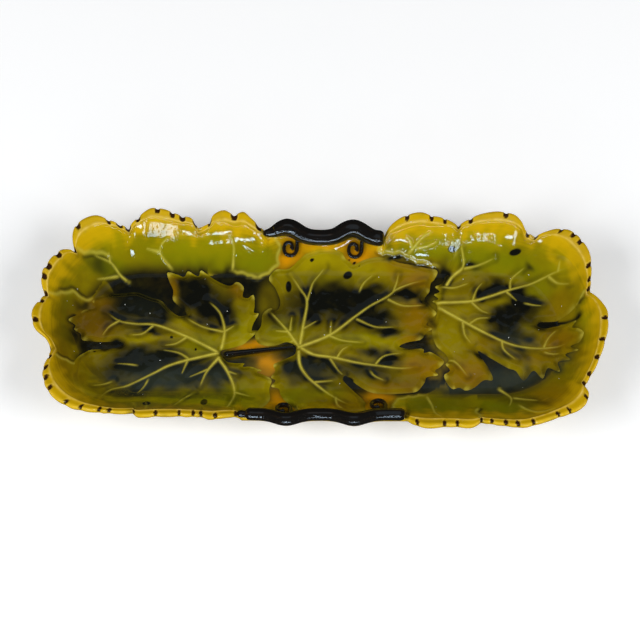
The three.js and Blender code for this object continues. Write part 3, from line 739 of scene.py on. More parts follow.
def plug(tree, value, socket):
    if isinstance(value, bpy.types.NodeSocket):
        tree.links.new(value, socket)
    else:
        socket.default_value = value


def maths(tree, kind, first, second, clamp=True):
    node = tree.nodes.new("ShaderNodeMath")
    node.operation = kind
    node.use_clamp = clamp
    plug(tree, first, node.inputs[0])
    plug(tree, second, node.inputs[1])
    return node.outputs[0]


def over(tree, below, above, amount):
    # one glaze laid over another
    node = tree.nodes.new("ShaderNodeMix")
    node.data_type = "RGBA"
    plug(tree, amount, node.inputs[0])
    plug(tree, below, node.inputs[6])
    plug(tree, above, node.inputs[7])
    return node.outputs[2]


def patchy(tree, name, size, low, high=1.0, detail=3.0):
    # a stored wash with an uneven depth
    return maths(tree, "MULTIPLY", stored(tree, name), uneven(tree, size, low, high, detail))


def setGlaze(shader, look):
    # all the shine is in the clear coat over the colour
    shader.inputs["Roughness"].default_value = look["roughness"]
    shader.inputs["Specular IOR Level"].default_value = 0.0
    shader.inputs["Coat Weight"].default_value = 1.0
    shader.inputs["Coat Roughness"].default_value = look["coatRoughness"]
    shader.inputs["Coat IOR"].default_value = look["coatIor"]


def addSkin(tree, shader, size, height, strength):
    # gentle waves in the surface of the glaze
    bump = tree.nodes.new("ShaderNodeBump")
    bump.inputs["Strength"].default_value = strength
    bump.inputs["Distance"].default_value = height * mm
    tree.links.new(uneven(tree, size, 0, 1), bump.inputs["Height"])
    for name in ("Normal", "Coat Normal"):
        tree.links.new(bump.outputs["Normal"], shader.inputs[name])


leafFinish = {
    "olive": shade(118, 101, 4),
    "ochre": shade(212, 170, 8),
    "green": shade(122, 126, 4),
    "yellow": shade(166, 149, 4),
    "amber": shade(142, 102, 3),
    "orange": shade(212, 144, 5),
    "umber": shade(17, 18, 13),
    # painted blue-grey sheen on the dark glaze
    "slateSheen": shade(46, 52, 42),
    "thin": shade(216, 202, 78),
    "thinRimAndHighlight": shade(240, 206, 96),  # where the glaze is thinnest on the rim, and a painted highlight along the inner edge of its flat
    "nick": shade(52, 28, 8),
    # painted glints off pinholes in the glaze
    "glint": shade(226, 230, 224),
    "glintSpacing": 10.0,
    "glintSize": 0.28,
    "oliveGrain": [11, 0.0, 0.45],  # size of the patches, least and most of the yellow in them
    "washGrain": {"green": [6, 0.8], "yellow": [8, 0.75], "amber": [7, 0.75], "rim": [9, 0.85]},
    "darkGrain": [7, 0.97, 1.04, 2.0],
    "thinGrain": [5, 0.6],
    "skin": [6, 0.1, 0.22],  # size, height and strength of the waves in the glaze
    "roughness": 0.4,
    "coatRoughness": 0.03,
    "coatIor": 1.5,
}


def makeLeafGlaze():
    material, tree, shader = newFinish("leafGlaze")
    tint = over(tree, leafFinish["olive"], leafFinish["yellow"], uneven(tree, *leafFinish["oliveGrain"]))
    for key, grain in leafFinish["washGrain"].items():
        colour = leafFinish["ochre" if key == "rim" else key]
        tint = over(tree, tint, colour, patchy(tree, key, *grain))
    tint = over(tree, tint, leafFinish["orange"], stored(tree, "orange"))
    # dark glaze, with a painted blue-grey sheen laid over it
    dark = over(tree, leafFinish["umber"], leafFinish["slateSheen"], stored(tree, "slateSheen"))
    tint = over(tree, tint, dark, patchy(tree, "dark", *leafFinish["darkGrain"]))
    tint = over(tree, tint, leafFinish["thin"], patchy(tree, "thin", *leafFinish["thinGrain"]))
    for colour, key in (("thinRimAndHighlight", "thinRimAndHighlight"), ("umber", "drop"), ("nick", "nick")):
        tint = over(tree, tint, leafFinish[colour], stored(tree, key))
    # white dots painted as glints off pinholes in the glaze
    glintDots = glintSpecks(tree, leafFinish["glintSpacing"], leafFinish["glintSize"])
    tint = over(tree, tint, leafFinish["glint"], glintDots)
    tree.links.new(tint, shader.inputs["Base Color"])
    setGlaze(shader, leafFinish)
    addSkin(tree, shader, *leafFinish["skin"])
    return material


barkFinish = {
    "black": shade(19, 17, 15),
    "brown": shade(70, 46, 18),
    "wornGrain": [5, 0.2],
    "skin": [2.2, 0.1, 0.25],
    "roughness": 0.4,
    "coatRoughness": 0.12,
    "coatIor": 1.9,  # a thick, heavy glaze
}


def makeBarkGlaze():
    material, tree, shader = newFinish("barkGlaze")
    worn = patchy(tree, "thin", *barkFinish["wornGrain"])
    tint = over(tree, barkFinish["black"], barkFinish["brown"], worn)
    tree.links.new(tint, shader.inputs["Base Color"])
    setGlaze(shader, barkFinish)
    addSkin(tree, shader, *barkFinish["skin"])
    return material


footFinish = {
    "honey": shade(196, 148, 50),
    "brown": shade(120, 78, 20),
    "clay": shade(206, 172, 132),
    "bareHeight": 0.7,  # the standing edge is wiped clean this far up
    "bareWander": 0.3,
    "roughness": [0.16, 0.85],  # glazed, and bare clay
    "grain": [6, 0.0, 0.8, 5.0],
    "skin": [1.2, 0.12, 0.4],
}


def makeFootGlaze():
    material, tree, shader = newFinish("footGlaze")
    tint = over(tree, footFinish["honey"], footFinish["brown"], uneven(tree, *footFinish["grain"]))
    position = tree.nodes.new("ShaderNodeNewGeometry")
    split = tree.nodes.new("ShaderNodeSeparateXYZ")
    tree.links.new(position.outputs["Position"], split.inputs["Vector"])
    wander = footFinish["bareWander"] * mm
    wavy = maths(tree, "ADD", split.outputs["Z"], uneven(tree, 4, -wander, wander), clamp=False)
    bare = maths(tree, "LESS_THAN", wavy, footFinish["bareHeight"] * mm)
    tint = over(tree, tint, footFinish["clay"], bare)
    tree.links.new(tint, shader.inputs["Base Color"])
    rough = tree.nodes.new("ShaderNodeMapRange")
    rough.inputs["To Min"].default_value, rough.inputs["To Max"].default_value = footFinish["roughness"]
    tree.links.new(bare, rough.inputs["Value"])
    tree.links.new(rough.outputs["Result"], shader.inputs["Roughness"])
    addSkin(tree, shader, *footFinish["skin"])
    return material


leafGlaze = makeLeafGlaze()
barkGlaze = makeBarkGlaze()
footGlaze = makeFootGlaze()
print("finishes made")


# Meshes


def makePiece(name, points, faces, finish, values, nodes):
    # faces is a list of index arrays, each with three or four columns
    mesh = bpy.data.meshes.new(name)
    corners = np.concatenate([f.ravel() for f in faces]).astype(np.int32)
    sizes = np.concatenate([np.full(len(f), f.shape[1], np.int32) for f in faces])
    starts = np.concatenate([[0], np.cumsum(sizes)[:-1]]).astype(np.int32)
    mesh.vertices.add(len(points))
    mesh.vertices.foreach_set("co", (points * mm).astype(np.float32).ravel())
    mesh.loops.add(len(corners))
    mesh.loops.foreach_set("vertex_index", corners)
    mesh.polygons.add(len(sizes))
    mesh.polygons.foreach_set("loop_start", starts)
    mesh.polygons.foreach_set("loop_total", sizes)
    mesh.polygons.foreach_set("use_smooth", np.ones(len(sizes), bool))
    for key, value in values.items():
        layer = mesh.attributes.new(key, "FLOAT", "POINT")
        layer.data.foreach_set("value", np.asarray(value, np.float32).ravel())
    mesh.update(calc_edges=True)
    mesh.validate()
    mesh.materials.append(finish)
    piece = bpy.data.objects.new(name, mesh)
    bpy.context.scene.collection.objects.link(piece)
    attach(piece, "root")
    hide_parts(*nodes)
    print(name, "made with", len(sizes), "faces")


def ringFaces(first, second):
    # quads between two closed rings of point numbers
    return np.column_stack([first, np.roll(first, -1), np.roll(second, -1), second])


shell = {
    "sideColumns": 400,  # along each straight side
    "endColumns": 330,  # round each end
    "floorRings": 20,
    "wallRings": 44,
    "lip": [
        [0.04, 0.14, 0], [0.08, 0.36, 0], [0.13, 0.56, 0], [0.2, 0.67, 0], [0.28, 0.68, 0], [0.4, 0.72, 0],
        [0.55, 0.86, 0], [0.68, 0.97, 0], [0.78, 1, 0.03], [0.87, 1, 0.2], [0.94, 1, 0.55],
    ],  # share of the flat's width, share of its rise, drop from the rim's top
    "outer": [[0.15, 1.1], [0.0, 1.9], [0.05, 3.0], [0.4, 4.3], [1.1, 5.4], [2.3, 6.5]],  # inset and drop
    "underShares": [0.9, 0.78, 0.64, 0.5, 0.36, 0.22, 0.1, 0.0],
    "underRings": 4,
    "creaseDepth": 0.9,
    "nickWidth": [1.3, 1.7, 1.45],  # half the width of a notch at the front, the ends and the rear
    "nickReach": [4.6, 5.0, 4.8],  # its length across the rim
    "nickFall": 2.6,  # and down the outer face
    "nickDepth": 0.7,
    "nickBite": 0.35,  # how far a notch shows in the outline
    "nickSquareness": 2.4,
    "scallop": 0.35,  # dip of the outline on both sides of a notch
    "scallopReach": 2.6,
    "leftCut": 1.4,  # the notches of the left rim are cut deeper and wider
    "leftBlend": 40.0,  # distance over which they become so
    "faceDrop": 1.9,  # the outer face starts this far below the rim's top
    "faceCut": 0.2,  # how much of a notch's depth is left there
    "streakDepth": 0.2,  # brush strokes along the walls
    "rimStart": 0.6,  # share of the wall's height where the rim's ochre starts
}


def wayStops():
    side, end = shell["sideColumns"], shell["endColumns"]
    lengths = [(sideLength, side), (endLength, end), (sideLength, side), (endLength, end)]
    start, stops = 0.0, []
    for length, count in lengths:
        stops.append(start + length * np.arange(count) / count)
        start += length
    return np.concatenate(stops)


def spineIndex():
    # columns share the points of the spine: rear and front in pairs, each end in one point
    side, end = shell["sideColumns"], shell["endColumns"]
    back, front = np.arange(side), side - np.arange(side)
    return np.concatenate([back, np.full(end, side), front, np.zeros(end, int)])


def rimPoints(way):
    rootX, outX, outY = spineRay(way)
    reach = columnAt(way)["reach"]
    return rootX + outX * reach, outY * reach


def nickOffsets(way):
    # distance along the rim to the nearest notch, and half that notch's width
    marks, _ = spinePlace(*place(rimNicks).T)
    rootX, _, outY = spineRay(marks)
    edgeX, edgeY = rimPoints(way)
    nearest, half = np.full(way.shape, 99.0), np.ones(way.shape)
    for k, (markX, markY) in enumerate(zip(*rimPoints(marks))):
        off = np.hypot(edgeX - markX, edgeY - markY)
        rear, leftward = (outY[k] + 1) / 2, float(ease(-rootX[k], 0, shell["leftBlend"]))
        width = np.interp(outY[k], [-1, 0, 1], shell["nickWidth"]) * (1 + 0.15 * math.sin(7.3 * k))
        width *= between(1, shell["leftCut"], rear * leftward)
        half = np.where(off < nearest, width, half)
        nearest = np.minimum(nearest, off)
    return nearest, half


def makeShell():
    way = wayStops()
    rootX, outX, outY = spineRay(way)
    column = columnAt(way)
    count = len(way)
    rows = []

    def addRing(radius, z, share, lip=0.0, under=0.0, nick=0.0, edge=0.0):
        marks = {"share": share, "lip": lip, "under": under, "nick": nick, "edge": edge}
        marks = {key: np.broadcast_to(value, (count,)) for key, value in marks.items()}
        rows.append({"x": rootX + outX * radius, "y": outY * radius, "z": z + np.zeros(count), **marks})

    for k in range(1, shell["floorRings"]):
        addRing(floorRadius * k / shell["floorRings"], floorTop, 0.0)
    wallEnd = wallShare(column, column["reach"] - column["band"])
    for k in range(shell["wallRings"]):
        share = wallEnd * k / (shell["wallRings"] - 1)
        addRing(wallRadius(column, share), wallTop(column, share), share)
    offset, half = nickOffsets(way)
    cut = between(1, shell["leftCut"], ease(-rootX, 0, shell["leftBlend"]))
    dip = shell["scallop"] * cut * np.exp(-((offset / shell["scallopReach"]) ** 2))

    def addLip(inset, z, drop, edge):
        # a notch is a rounded slot across the rim, with a pale edge
        square = shell["nickSquareness"]
        fall = max(drop - shell["faceDrop"], 0) / shell["nickFall"]
        reach = np.minimum(np.interp(outY, [-1, 0, 1], shell["nickReach"]), 0.95 * column["band"])
        across = np.abs(inset / reach - 0.4) / 0.5
        slot = 1 - fall - (offset / half) ** square - across ** square
        bite, nick = ease(slot, 0.0, 0.5), ease(slot, 0.0, 0.3)
        edge = edge + 0.6 * np.exp(-(((slot + 0.4) / 0.3) ** 2)) * (drop < 1)
        outer = ease(-inset, -2.5, -0.3)
        radius = column["reach"] - inset - outer * (dip + shell["nickBite"] * cut * bite)
        depth = shell["nickDepth"] * (shell["faceCut"] if drop >= shell["faceDrop"] else 1)
        z = z - drop - bite * depth * cut
        addRing(radius, z, 1.0, ease(7 - drop, 0, 2.0), ease(drop, 3.0, 5.0), nick, edge)

    wallHeight = wallTop(column, wallEnd)
    # the pale line near the flat's inner edge is a painted highlight; the one at its outer edge is thin glaze
    for share, rise, drop in shell["lip"]:
        edge = math.exp(-(((share - 0.2) / 0.09) ** 2)) + 0.4 * math.exp(-(((share - 0.92) / 0.06) ** 2))
        addLip(column["band"] * (1 - share), between(wallHeight, column["top"], rise), drop, edge)
    for inset, drop in shell["outer"]:
        addLip(np.full(count, inset), column["top"], drop, 0.4 * (drop < 1.5))
    for share in shell["underShares"]:
        depth = between(dish["floorThickness"], dish["wallThickness"], share)
        low = wallTop(column, share) - depth
        addRing(wallRadius(column, share), low, share, under=1.0)
    for k in range(shell["underRings"] - 1, 0, -1):
        addRing(floorRadius * k / shell["underRings"], dish["base"], 0.0, under=1.0)

    grid = {key: np.array([row[key] for row in rows]) for key in rows[0]}
    top = grid["under"] + grid["lip"] == 0
    x, y, share = grid["x"][top], grid["y"][top], grid["share"][top]
    ridge, _ = veinRelief(x, y, wallVeins, glaze["veinWidth"], 0.2)
    step, pale, shadow, covered = edgeSteps(x, y)
    cover, soft = leafCover(x, y), softness(x, y)
    bare = ease(cover, 2.0, -1.0)
    full = np.broadcast_to(column["full"], grid["x"].shape)
    high = np.broadcast_to(column["top"], full.shape) > dish["seatHeight"] + 8
    crease = np.exp(-((full / 0.11) ** 2)) * high
    lift = np.zeros(grid["x"].shape)
    lift[top] = ridge * glaze["veinRise"] * bare
    lift[top] += glaze["edgeStep"] * step * bare * ease(1.0 - share, 0.0, 0.12)
    lift[top] -= shell["creaseDepth"] * crease[top] * ease(share, 0.7, 0.95)
    grid["z"] = grid["z"] + lift

    seen = 1 - grid["under"]
    along = np.broadcast_to(rootX + 40 * outX + 23 * outY, full.shape)
    streak = mottle(0.18 * along, 100 * grid["share"], 7)  # brush strokes along the walls
    wash = washes(grid["x"], grid["y"])
    values = {key: np.array(value * seen) for key, value in wash.items()}
    values["orange"][top] *= 1 - covered
    paler = ovals(x, y, paleGround, 2.0)
    ground = glaze["groundDark"] * ease(-share, -0.4, -0.05) * (1 - paler)
    # dark glaze pooled against the leaves' edges, with painted shadow beside them
    poolShade = np.exp(-((np.maximum(-cover, 0) / glaze["poolShadeReach"]) ** 1.3))
    poolShade *= ease(-share, -0.9, -0.2) * (1 - soft) * (1 - 0.55 * paler)
    # painted shadow beside the walls' raised leaf edges joins the dark here
    poolShade = np.maximum(np.maximum(poolShade, ground), 0.75 * shadow * ease(1 - share, 0.1, 0.3))
    poolShade *= (1 - 0.92 * values["orange"][top]) * (1 - 0.9 * ease(covered, 0.2, 0.8))
    values["dark"][top] = np.maximum(values["dark"][top] * (1 - 0.9 * values["orange"][top]), poolShade)
    values["dark"][top] *= 1 - 0.85 * np.maximum(ridge * bare, 0.8 * pale)
    values["dark"] *= ease(1 - grid["share"], 0.03, 0.35)
    # painted shade in the creases between the rim's lobes
    values["dark"] += 0.4 * crease * ease(grid["share"], 0.7, 0.95) * seen
    blotch = 0.1 * mottle(grid["x"], grid["y"], 14) + 0.05 * streak
    values["rim"] = ease(grid["share"] + blotch, shell["rimStart"], 1.0) * seen
    values["green"] = values["green"] + shell["streakDepth"] * streak * ease(grid["share"], 0.2, 0.6) * seen
    # pale thin glaze on the rim's edges, and a painted highlight along the flat's inner edge
    values["thinRimAndHighlight"] = grid["edge"] * (0.6 + 0.4 * mottle(grid["x"], grid["y"], 9, 0.4)) * seen
    values["thin"] = np.zeros(grid["x"].shape)
    values["thin"][top] = np.maximum(0.85 * ridge * bare, 0.5 * pale)
    values["nick"] = grid["nick"]
    below = grid["under"]
    values["amber"] = between(values["amber"], 0.55 + 0.3 * mottle(grid["x"], grid["y"], 11), below)
    values["yellow"] = between(values["yellow"], 0.6, below)
    sponge = 0.1 + 0.25 * ease(mottle(grid["x"], grid["y"], 8, 2), 0.2, 1.0)
    values["dark"] = between(values["dark"], sponge, below)

    spine = spineIndex()
    spineX = np.linspace(-spineHalf, spineHalf, shell["sideColumns"] + 1)
    ringCount = len(rows)
    numbers = np.arange(ringCount * count).reshape(ringCount, count)
    topSpine = ringCount * count + spine
    baseSpine = topSpine + len(spineX)
    points = np.column_stack([grid["x"].ravel(), grid["y"].ravel(), grid["z"].ravel()])
    level = np.zeros(len(spineX))
    points = np.vstack([
        points,
        np.column_stack([spineX, level, level + floorTop]),
        np.column_stack([spineX, level, level + dish["base"]]),
    ])
    faces = [ringFaces(numbers[k], numbers[k + 1]) for k in range(ringCount - 1)]
    for ring, middle in ((numbers[0][::-1], topSpine[::-1]), (numbers[-1], baseSpine)):
        cap = ringFaces(ring, middle)
        flat = cap[:, 2] == cap[:, 3]
        faces += [cap[~flat], cap[flat][:, :3]]
    spineWash = washes(spineX, level)
    for key in values:
        onTop = spineWash.get(key, level)
        below = level + (0.5 if key == "amber" else 0)
        values[key] = np.clip(np.concatenate([values[key].ravel(), onTop, below]), 0, 1)
    faces = [f for f in faces if len(f)]
    makePiece("leafDishShell", points, faces, leafGlaze, values, ["dish_shell"])


makeShell()

tendril = {
    "diameter": 2.3,
    "curlRadius": 4.8,
    "coreRadius": 1.3,
    "turns": 1.1,
    "frontDiameter": 2.8,  # the front pair is thicker and more open
    "frontCore": 2.0,
    "frontTurns": 0.8,
    "drop": 6.4,
    "room": 1.0,
    "tailStep": 0.8,
    "sides": 16,
    "coilPoints": 90,
    "places": {
        "rearLeftTendril": ["rear_left_tendril", rearSeat, -18.5],
        "rearRightTendril": ["rear_right_tendril", rearSeat, 20.5],
        "frontLeftTendril": ["front_left_tendril", frontSeat, -22],
        "frontRightTendril": ["front_right_tendril", frontSeat, 33.5],
    },
}


def curlMiddle(seat, x):
    y, _, _ = twigLine(seat, x)
    return y - seat["side"] * (dish["lipWidth"] / 2 + tendril["drop"])


leafShape = {
    "step": 0.45,
    "thickness": 1.3,
    "edgeRise": 3.3,  # distance over which an edge comes up to the leaf's thickness
    "softRise": 9.0,  # the same where the edge melts into the wall
    "hem": 0.9,  # the edge runs on into the clay below
    "hemDepth": 0.8,
    "quilt": 0.5,  # swelling of the blade between veins
    "quiltReach": 4.5,
    "tipReach": 8,  # edge points over which a tooth stands out
    "furrowShadeDepth": 0.34,  # dark line along both sides of a vein: glaze pooled there and painted shade
    "furrowMiddle": 1.8,
    "furrowWidth": 1.4,
    "veinBare": 0.88,  # how clean the glaze runs off the veins and the edge
    "edgeBare": 0.85,
}


def edgeTips(edge):
    # 1 on the points of a leaf's edge, 0 in its bays
    reach = leafShape["tipReach"]
    wrapped = np.vstack([edge[-reach:], edge, edge[:reach]])
    window = np.ones(2 * reach + 1) / (2 * reach + 1)
    evened = [np.convolve(wrapped[:, k], window, "valid") for k in (0, 1)]
    return ease(depthInside(*evened, edge), 0.0, 0.7)


def makeLeaf(name, leaf):
    edge, step = leaf["edge"], leafShape["step"]
    low, high = edge.min(0) - 2, edge.max(0) + 2
    x, y = np.meshgrid(np.arange(low[0], high[0], step), np.arange(low[1], high[1], step), indexing="ij")
    inside = depthInside(x, y, edge)
    roomRadius = tendril["curlRadius"] + tendril["diameter"] / 2 + tendril["room"]
    for _, seat, middleX in tendril["places"].values():
        inside = np.minimum(inside, np.hypot(x - middleX, y - curlMiddle(seat, middleX)) - roomRadius)
    keep = inside > -leafShape["hem"]
    whole = keep[:-1, :-1] & keep[1:, :-1] & keep[1:, 1:] & keep[:-1, 1:]
    numbers = np.arange(x.size).reshape(x.shape)
    corners = [numbers[:-1, :-1], numbers[1:, :-1], numbers[1:, 1:], numbers[:-1, 1:]]
    quads = np.column_stack([corner[whole] for corner in corners])
    used = np.unique(quads)
    renumber = np.zeros(x.size, int)
    renumber[used] = np.arange(len(used))
    quads = renumber[quads]
    x, y, inside = x.ravel()[used], y.ravel()[used], inside.ravel()[used]

    ground = groundHeight(x, y)
    mainRidge, mainNear = veinRelief(x, y, leaf["mainVeins"], glaze["veinWidth"])
    sideRidge, sideNear = veinRelief(x, y, leaf["sideVeins"], glaze["sideVeinWidth"])
    looseRidge, looseNear = veinRelief(x, y, leaf["looseVeins"], glaze["sideVeinWidth"], 0.3)
    ridge = np.maximum(mainRidge, 0.75 * np.maximum(sideRidge, looseRidge)) * ease(inside, -0.3, 1.5)
    near = np.minimum(np.minimum(mainNear, sideNear), looseNear)
    soft = softness(x, y)
    riseReach = between(leafShape["edgeRise"], leafShape["softRise"], soft)
    rise = leafShape["thickness"] * ease(inside, -0.2, riseReach)
    rise -= leafShape["hemDepth"] * ease(-inside, 0.0, leafShape["hem"])
    quilt = leafShape["quilt"] * ease(near, 0.4, leafShape["quiltReach"]) * ease(inside, 0.5, 4.0)
    quilt += 0.05 * mottle(x, y, 12) * ease(inside, 0.5, 3.0)
    z = ground + rise + quilt + glaze["veinRise"] * ridge

    values = washes(x, y)
    # glaze pooled beside the raised veins, with painted shade there
    furrowShade = np.exp(-(((near - leafShape["furrowMiddle"]) / leafShape["furrowWidth"]) ** 2))
    furrowShade *= ease(mottle(x, y, 19, 0.7), -0.8, 0.6)
    tips, tip, close = edgeTips(edge), np.zeros(len(x)), inside < 4
    _, along, _ = nearLine(x[close], y[close], np.vstack([edge, edge[:1]]))
    tip[close] = np.interp(along * len(edge), np.arange(len(edge) + 1), np.append(tips, tips[0]))
    paleEdge = np.exp(-((np.maximum(inside - 0.7, 0) / 1.5) ** 2)) * (1 - soft)
    paleEdge *= tip * ease(mottle(x, y, 13), -0.9, 0.5) * (1 - 0.9 * values["dark"])
    values["thin"] = np.maximum(0.95 * ridge, 0.75 * paleEdge)
    values["dark"] = values["dark"] + leafShape["furrowShadeDepth"] * furrowShade
    values["dark"] *= 1 - leafShape["veinBare"] * np.minimum(1, 1.2 * ridge)
    values["dark"] *= 1 - leafShape["edgeBare"] * paleEdge
    # dark glaze and painted shadow just outside the leaf's edge, as on the ground beside it
    hem = glaze["groundDark"] * ease(-inside, -0.3, 0.3) * (1 - soft) * (1 - 0.9 * values["orange"])
    hem *= 1 - 0.6 * ovals(x, y, paleGround, 2.0)
    values["dark"] = np.maximum(values["dark"], hem * ease(-ground, -floorTop - 16, -floorTop - 6))
    values["orange"] = values["orange"] * ease(-inside, 0.0, 0.8)
    values["nick"] = np.zeros(len(x))
    way, radius = spinePlace(x, y)
    blotch = 0.1 * mottle(x, y, 14)
    values["rim"] = ease(wallShare(columnAt(way), radius) + blotch, shell["rimStart"], 1.0)

    bottom = ground - leafShape["hemDepth"] - 0.4
    edges = np.sort(np.concatenate([quads[:, [k, (k + 1) % 4]] for k in range(4)]), axis=1)
    found, counts = np.unique(edges, axis=0, return_counts=True)
    rimPairs = set(map(tuple, found[counts == 1]))
    sides = []
    for quad in quads[np.isin(quads, np.unique(found[counts == 1])).any(1)]:
        for k in range(4):
            a, b = quad[k], quad[(k + 1) % 4]
            if (min(a, b), max(a, b)) in rimPairs:
                sides.append([b, a, a + len(x), b + len(x)])
    points = np.vstack([np.column_stack([x, y, z]), np.column_stack([x, y, bottom])])
    faces = [quads, quads[:, ::-1] + len(x), np.array(sides)]
    values = {key: np.clip(np.concatenate([value, value]), 0, 1) for key, value in values.items()}
    makePiece(name.split("_")[0] + "VineLeaf", points, faces, leafGlaze, values, [name])


for name, leaf in leaves.items():
    makeLeaf(name, leaf)


def makeBar(name, path, radii, sides, ridges, finish, nodes):
    # round bar along a path; ridges gives a share of the radius for each ring and angle
    along = np.gradient(path, axis=0)
    along /= np.linalg.norm(along, axis=1)[:, None]
    across = np.cross([0, 0, 1], along)
    across /= np.linalg.norm(across, axis=1)[:, None]
    upward = np.cross(along, across)
    angle = 2 * np.pi * np.arange(sides) / sides
    swell = ridges(np.linspace(0, 1, len(path))[:, None], angle[None, :])
    radius = radii[:, None] * (1 + swell)
    cosine, sine = np.cos(angle)[None, :, None], np.sin(angle)[None, :, None]
    ring = radius[..., None] * (cosine * across[:, None] + sine * upward[:, None])
    points = (path[:, None] + ring).reshape(-1, 3)
    numbers = np.arange(len(points)).reshape(len(path), sides)
    ends = len(points) + np.arange(2)
    points = np.vstack([points, path[:1], path[-1:]])
    faces = [ringFaces(numbers[k], numbers[k + 1]) for k in range(len(path) - 1)]
    first, last = numbers[0], numbers[-1]
    faces.append(np.column_stack([np.roll(first, -1), first, np.full(sides, ends[0])]))
    faces.append(np.column_stack([last, np.roll(last, -1), np.full(sides, ends[1])]))
    thin = np.clip(np.concatenate([ease(swell, 0.01, 0.06).ravel(), [0, 0]]), 0, 1)
    makePiece(name, points, faces, finish, {"thin": thin}, nodes)


twigLook = {
    "sides": 40,
    "step": 0.5,
    "barkLines": 7,  # ridges round the twig
    "barkDepth": 0.02,
    # thickness in the middle and at the knuckles, how far the twig sits in from the rim,
    # and its ends as places along the dish with the share of its thickness and a lift
    "rearTwigHandle": {
        "node": "rear_branch_handle", "seat": rearSeat,
        "middle": 9.6, "knuckle": 10.8, "inward": 1.0, "lessOut": 0.6,
        "ends": [
            [-34, 0.2, 4], [-33, 0.4, 3.5], [-27, 0.75, 1], [-20, 1, 0],
            [36, 1, 0], [37.8, 0.85, 0], [38.6, 0.4, 0],
        ],
    },
    "frontTwigHandle": {
        "node": "front_branch_handle", "seat": frontSeat,
        "middle": 7.4, "knuckle": 7.8, "inward": -0.8, "lessOut": 0,
        "ends": [
            [-48.6, 0.1, 0], [-48.2, 0.35, 0], [-47.4, 0.54, 0], [-46, 0.6, 0], [-44.6, 0.56, 0], [-43.8, 0.5, 0],
            [-43.2, 0.6, 0], [-42.2, 0.9, 0], [-41, 1, 0], [47, 1, 0], [49, 0.8, 0], [49.8, 0.4, 0],
        ],
    },
}


def barkRidges(share, angle):
    twist = angle * twigLook["barkLines"] + 5 * share + 0.8 * np.sin(9 * share)
    cracks = 0.6 * np.sin(2.3 * twist + 17 * share) * np.sin(31 * share)
    return twigLook["barkDepth"] * (np.sin(twist) + cracks)


def makeTwig(name):
    look = twigLook[name]
    ends = np.array(look["ends"])
    x = np.arange(ends[0, 0], ends[-1, 0], twigLook["step"])
    side = look["seat"]["side"]
    y, z, radius = twigLine(look["seat"], x)
    swell = (2 * radius - twig["diameter"]) / (twig["knuckleDiameter"] - twig["diameter"])
    own = between(look["middle"], look["knuckle"], swell) / 2
    y = y - side * (look["inward"] + look["lessOut"] * swell)
    z = z - np.maximum(radius - own, 0)  # a thinner twig still lies on the rim
    z = z + np.interp(x, ends[:, 0], ends[:, 2])
    own = own * np.interp(x, ends[:, 0], ends[:, 1])
    path = np.column_stack([x, y, z])
    makeBar(name, path, own, twigLook["sides"], barkRidges, barkGlaze, [look["node"]])


makeTwig("rearTwigHandle")
makeTwig("frontTwigHandle")


def onWall(x, y, height):
    # a point held a little off the wall, square to it
    probe = 0.5
    z = groundHeight(x, y)
    slopeX = (groundHeight(x + probe, y) - z) / probe
    slopeY = (groundHeight(x, y + probe) - z) / probe
    away = np.column_stack([-slopeX, -slopeY, np.ones(len(x))])
    away /= np.linalg.norm(away, axis=1)[:, None]
    return np.column_stack([x, y, z]) + away * height


def tendrilRipple(share, angle):
    return 0.03 * np.sin(3 * angle + 20 * share)


def makeTendril(name, node, seat, x):
    front = seat["side"] < 0
    turn = 2 * math.pi * tendril["frontTurns" if front else "turns"]
    thick = tendril["frontDiameter" if front else "diameter"]
    share = np.linspace(0, 1, tendril["coilPoints"])
    radius = between(tendril["frontCore" if front else "coreRadius"], tendril["curlRadius"], share)
    angle = turn * (share - 1)
    side, middleY = seat["side"], curlMiddle(seat, x)
    curlX = x + radius * np.cos(angle)
    curlY = middleY + side * radius * np.sin(angle)
    twigY, twigZ, twigRadius = twigLine(seat, curlX[-1])
    tail = np.arange(tendril["tailStep"], tendril["drop"] + 2, tendril["tailStep"] / 2)
    pathX = np.concatenate([curlX, np.full(len(tail), curlX[-1])])
    pathY = np.concatenate([curlY, curlY[-1] + side * tail])
    path = onWall(pathX, pathY, thick / 2)
    reach = np.hypot(path[:, 1] - twigY, path[:, 2] - twigZ)
    stop = np.arange(len(path)) < len(curlX)
    path = path[stop | (reach > twigRadius - 0.6)]
    along = np.linspace(0, 1, len(path))
    radii = thick / 2 * (0.95 + 0.35 * np.exp(-((along / 0.06) ** 2)) + 0.12 * along)
    radii[0] *= 0.4
    makeBar(name, path, radii, tendril["sides"], tendrilRipple, barkGlaze, [node])


for name, (node, seat, x) in tendril["places"].items():
    makeTendril(name, node, seat, x)

stem = {
    "path": [[-57, -15.6], [-47, -14.2], [-37, -12.8], [-20, -10.6], [-16, -10.2]],
    "thickEnd": 4.6,
    "thinEnd": 2.0,
    "sides": 24,
}


def makeStem():
    line = curveThrough(place(stem["path"]), 0.6)
    share = np.linspace(0, 1, len(line))
    radii = between(stem["thickEnd"], stem["thinEnd"], share ** 0.8) / 2
    radii[:3] *= [0.55, 0.85, 0.97]
    path = np.column_stack([line, floorTop + dish["slip"] + radii * 0.9])
    makeBar("leafStem", path, radii, stem["sides"], barkRidges, barkGlaze, ["leaf_stem"])


makeStem()

_, footHigh = nodeBox("foot_ring")
foot = {
    "reach": footHigh[1],
    "width": 6.0,
    "profile": [
        [-3.0, 1.0], [-2.4, 0.3], [-1.5, 0.0], [1.5, 0.0], [2.4, 0.3], [3.0, 1.0], [3.0, 2.6], [3.1, 3.8],
        [3.6, 4.8], [4.4, 5.5], [-4.4, 5.5], [-3.6, 4.8], [-3.1, 3.8], [-3.0, 2.6],
    ],  # offset from the ring's middle line and height
}


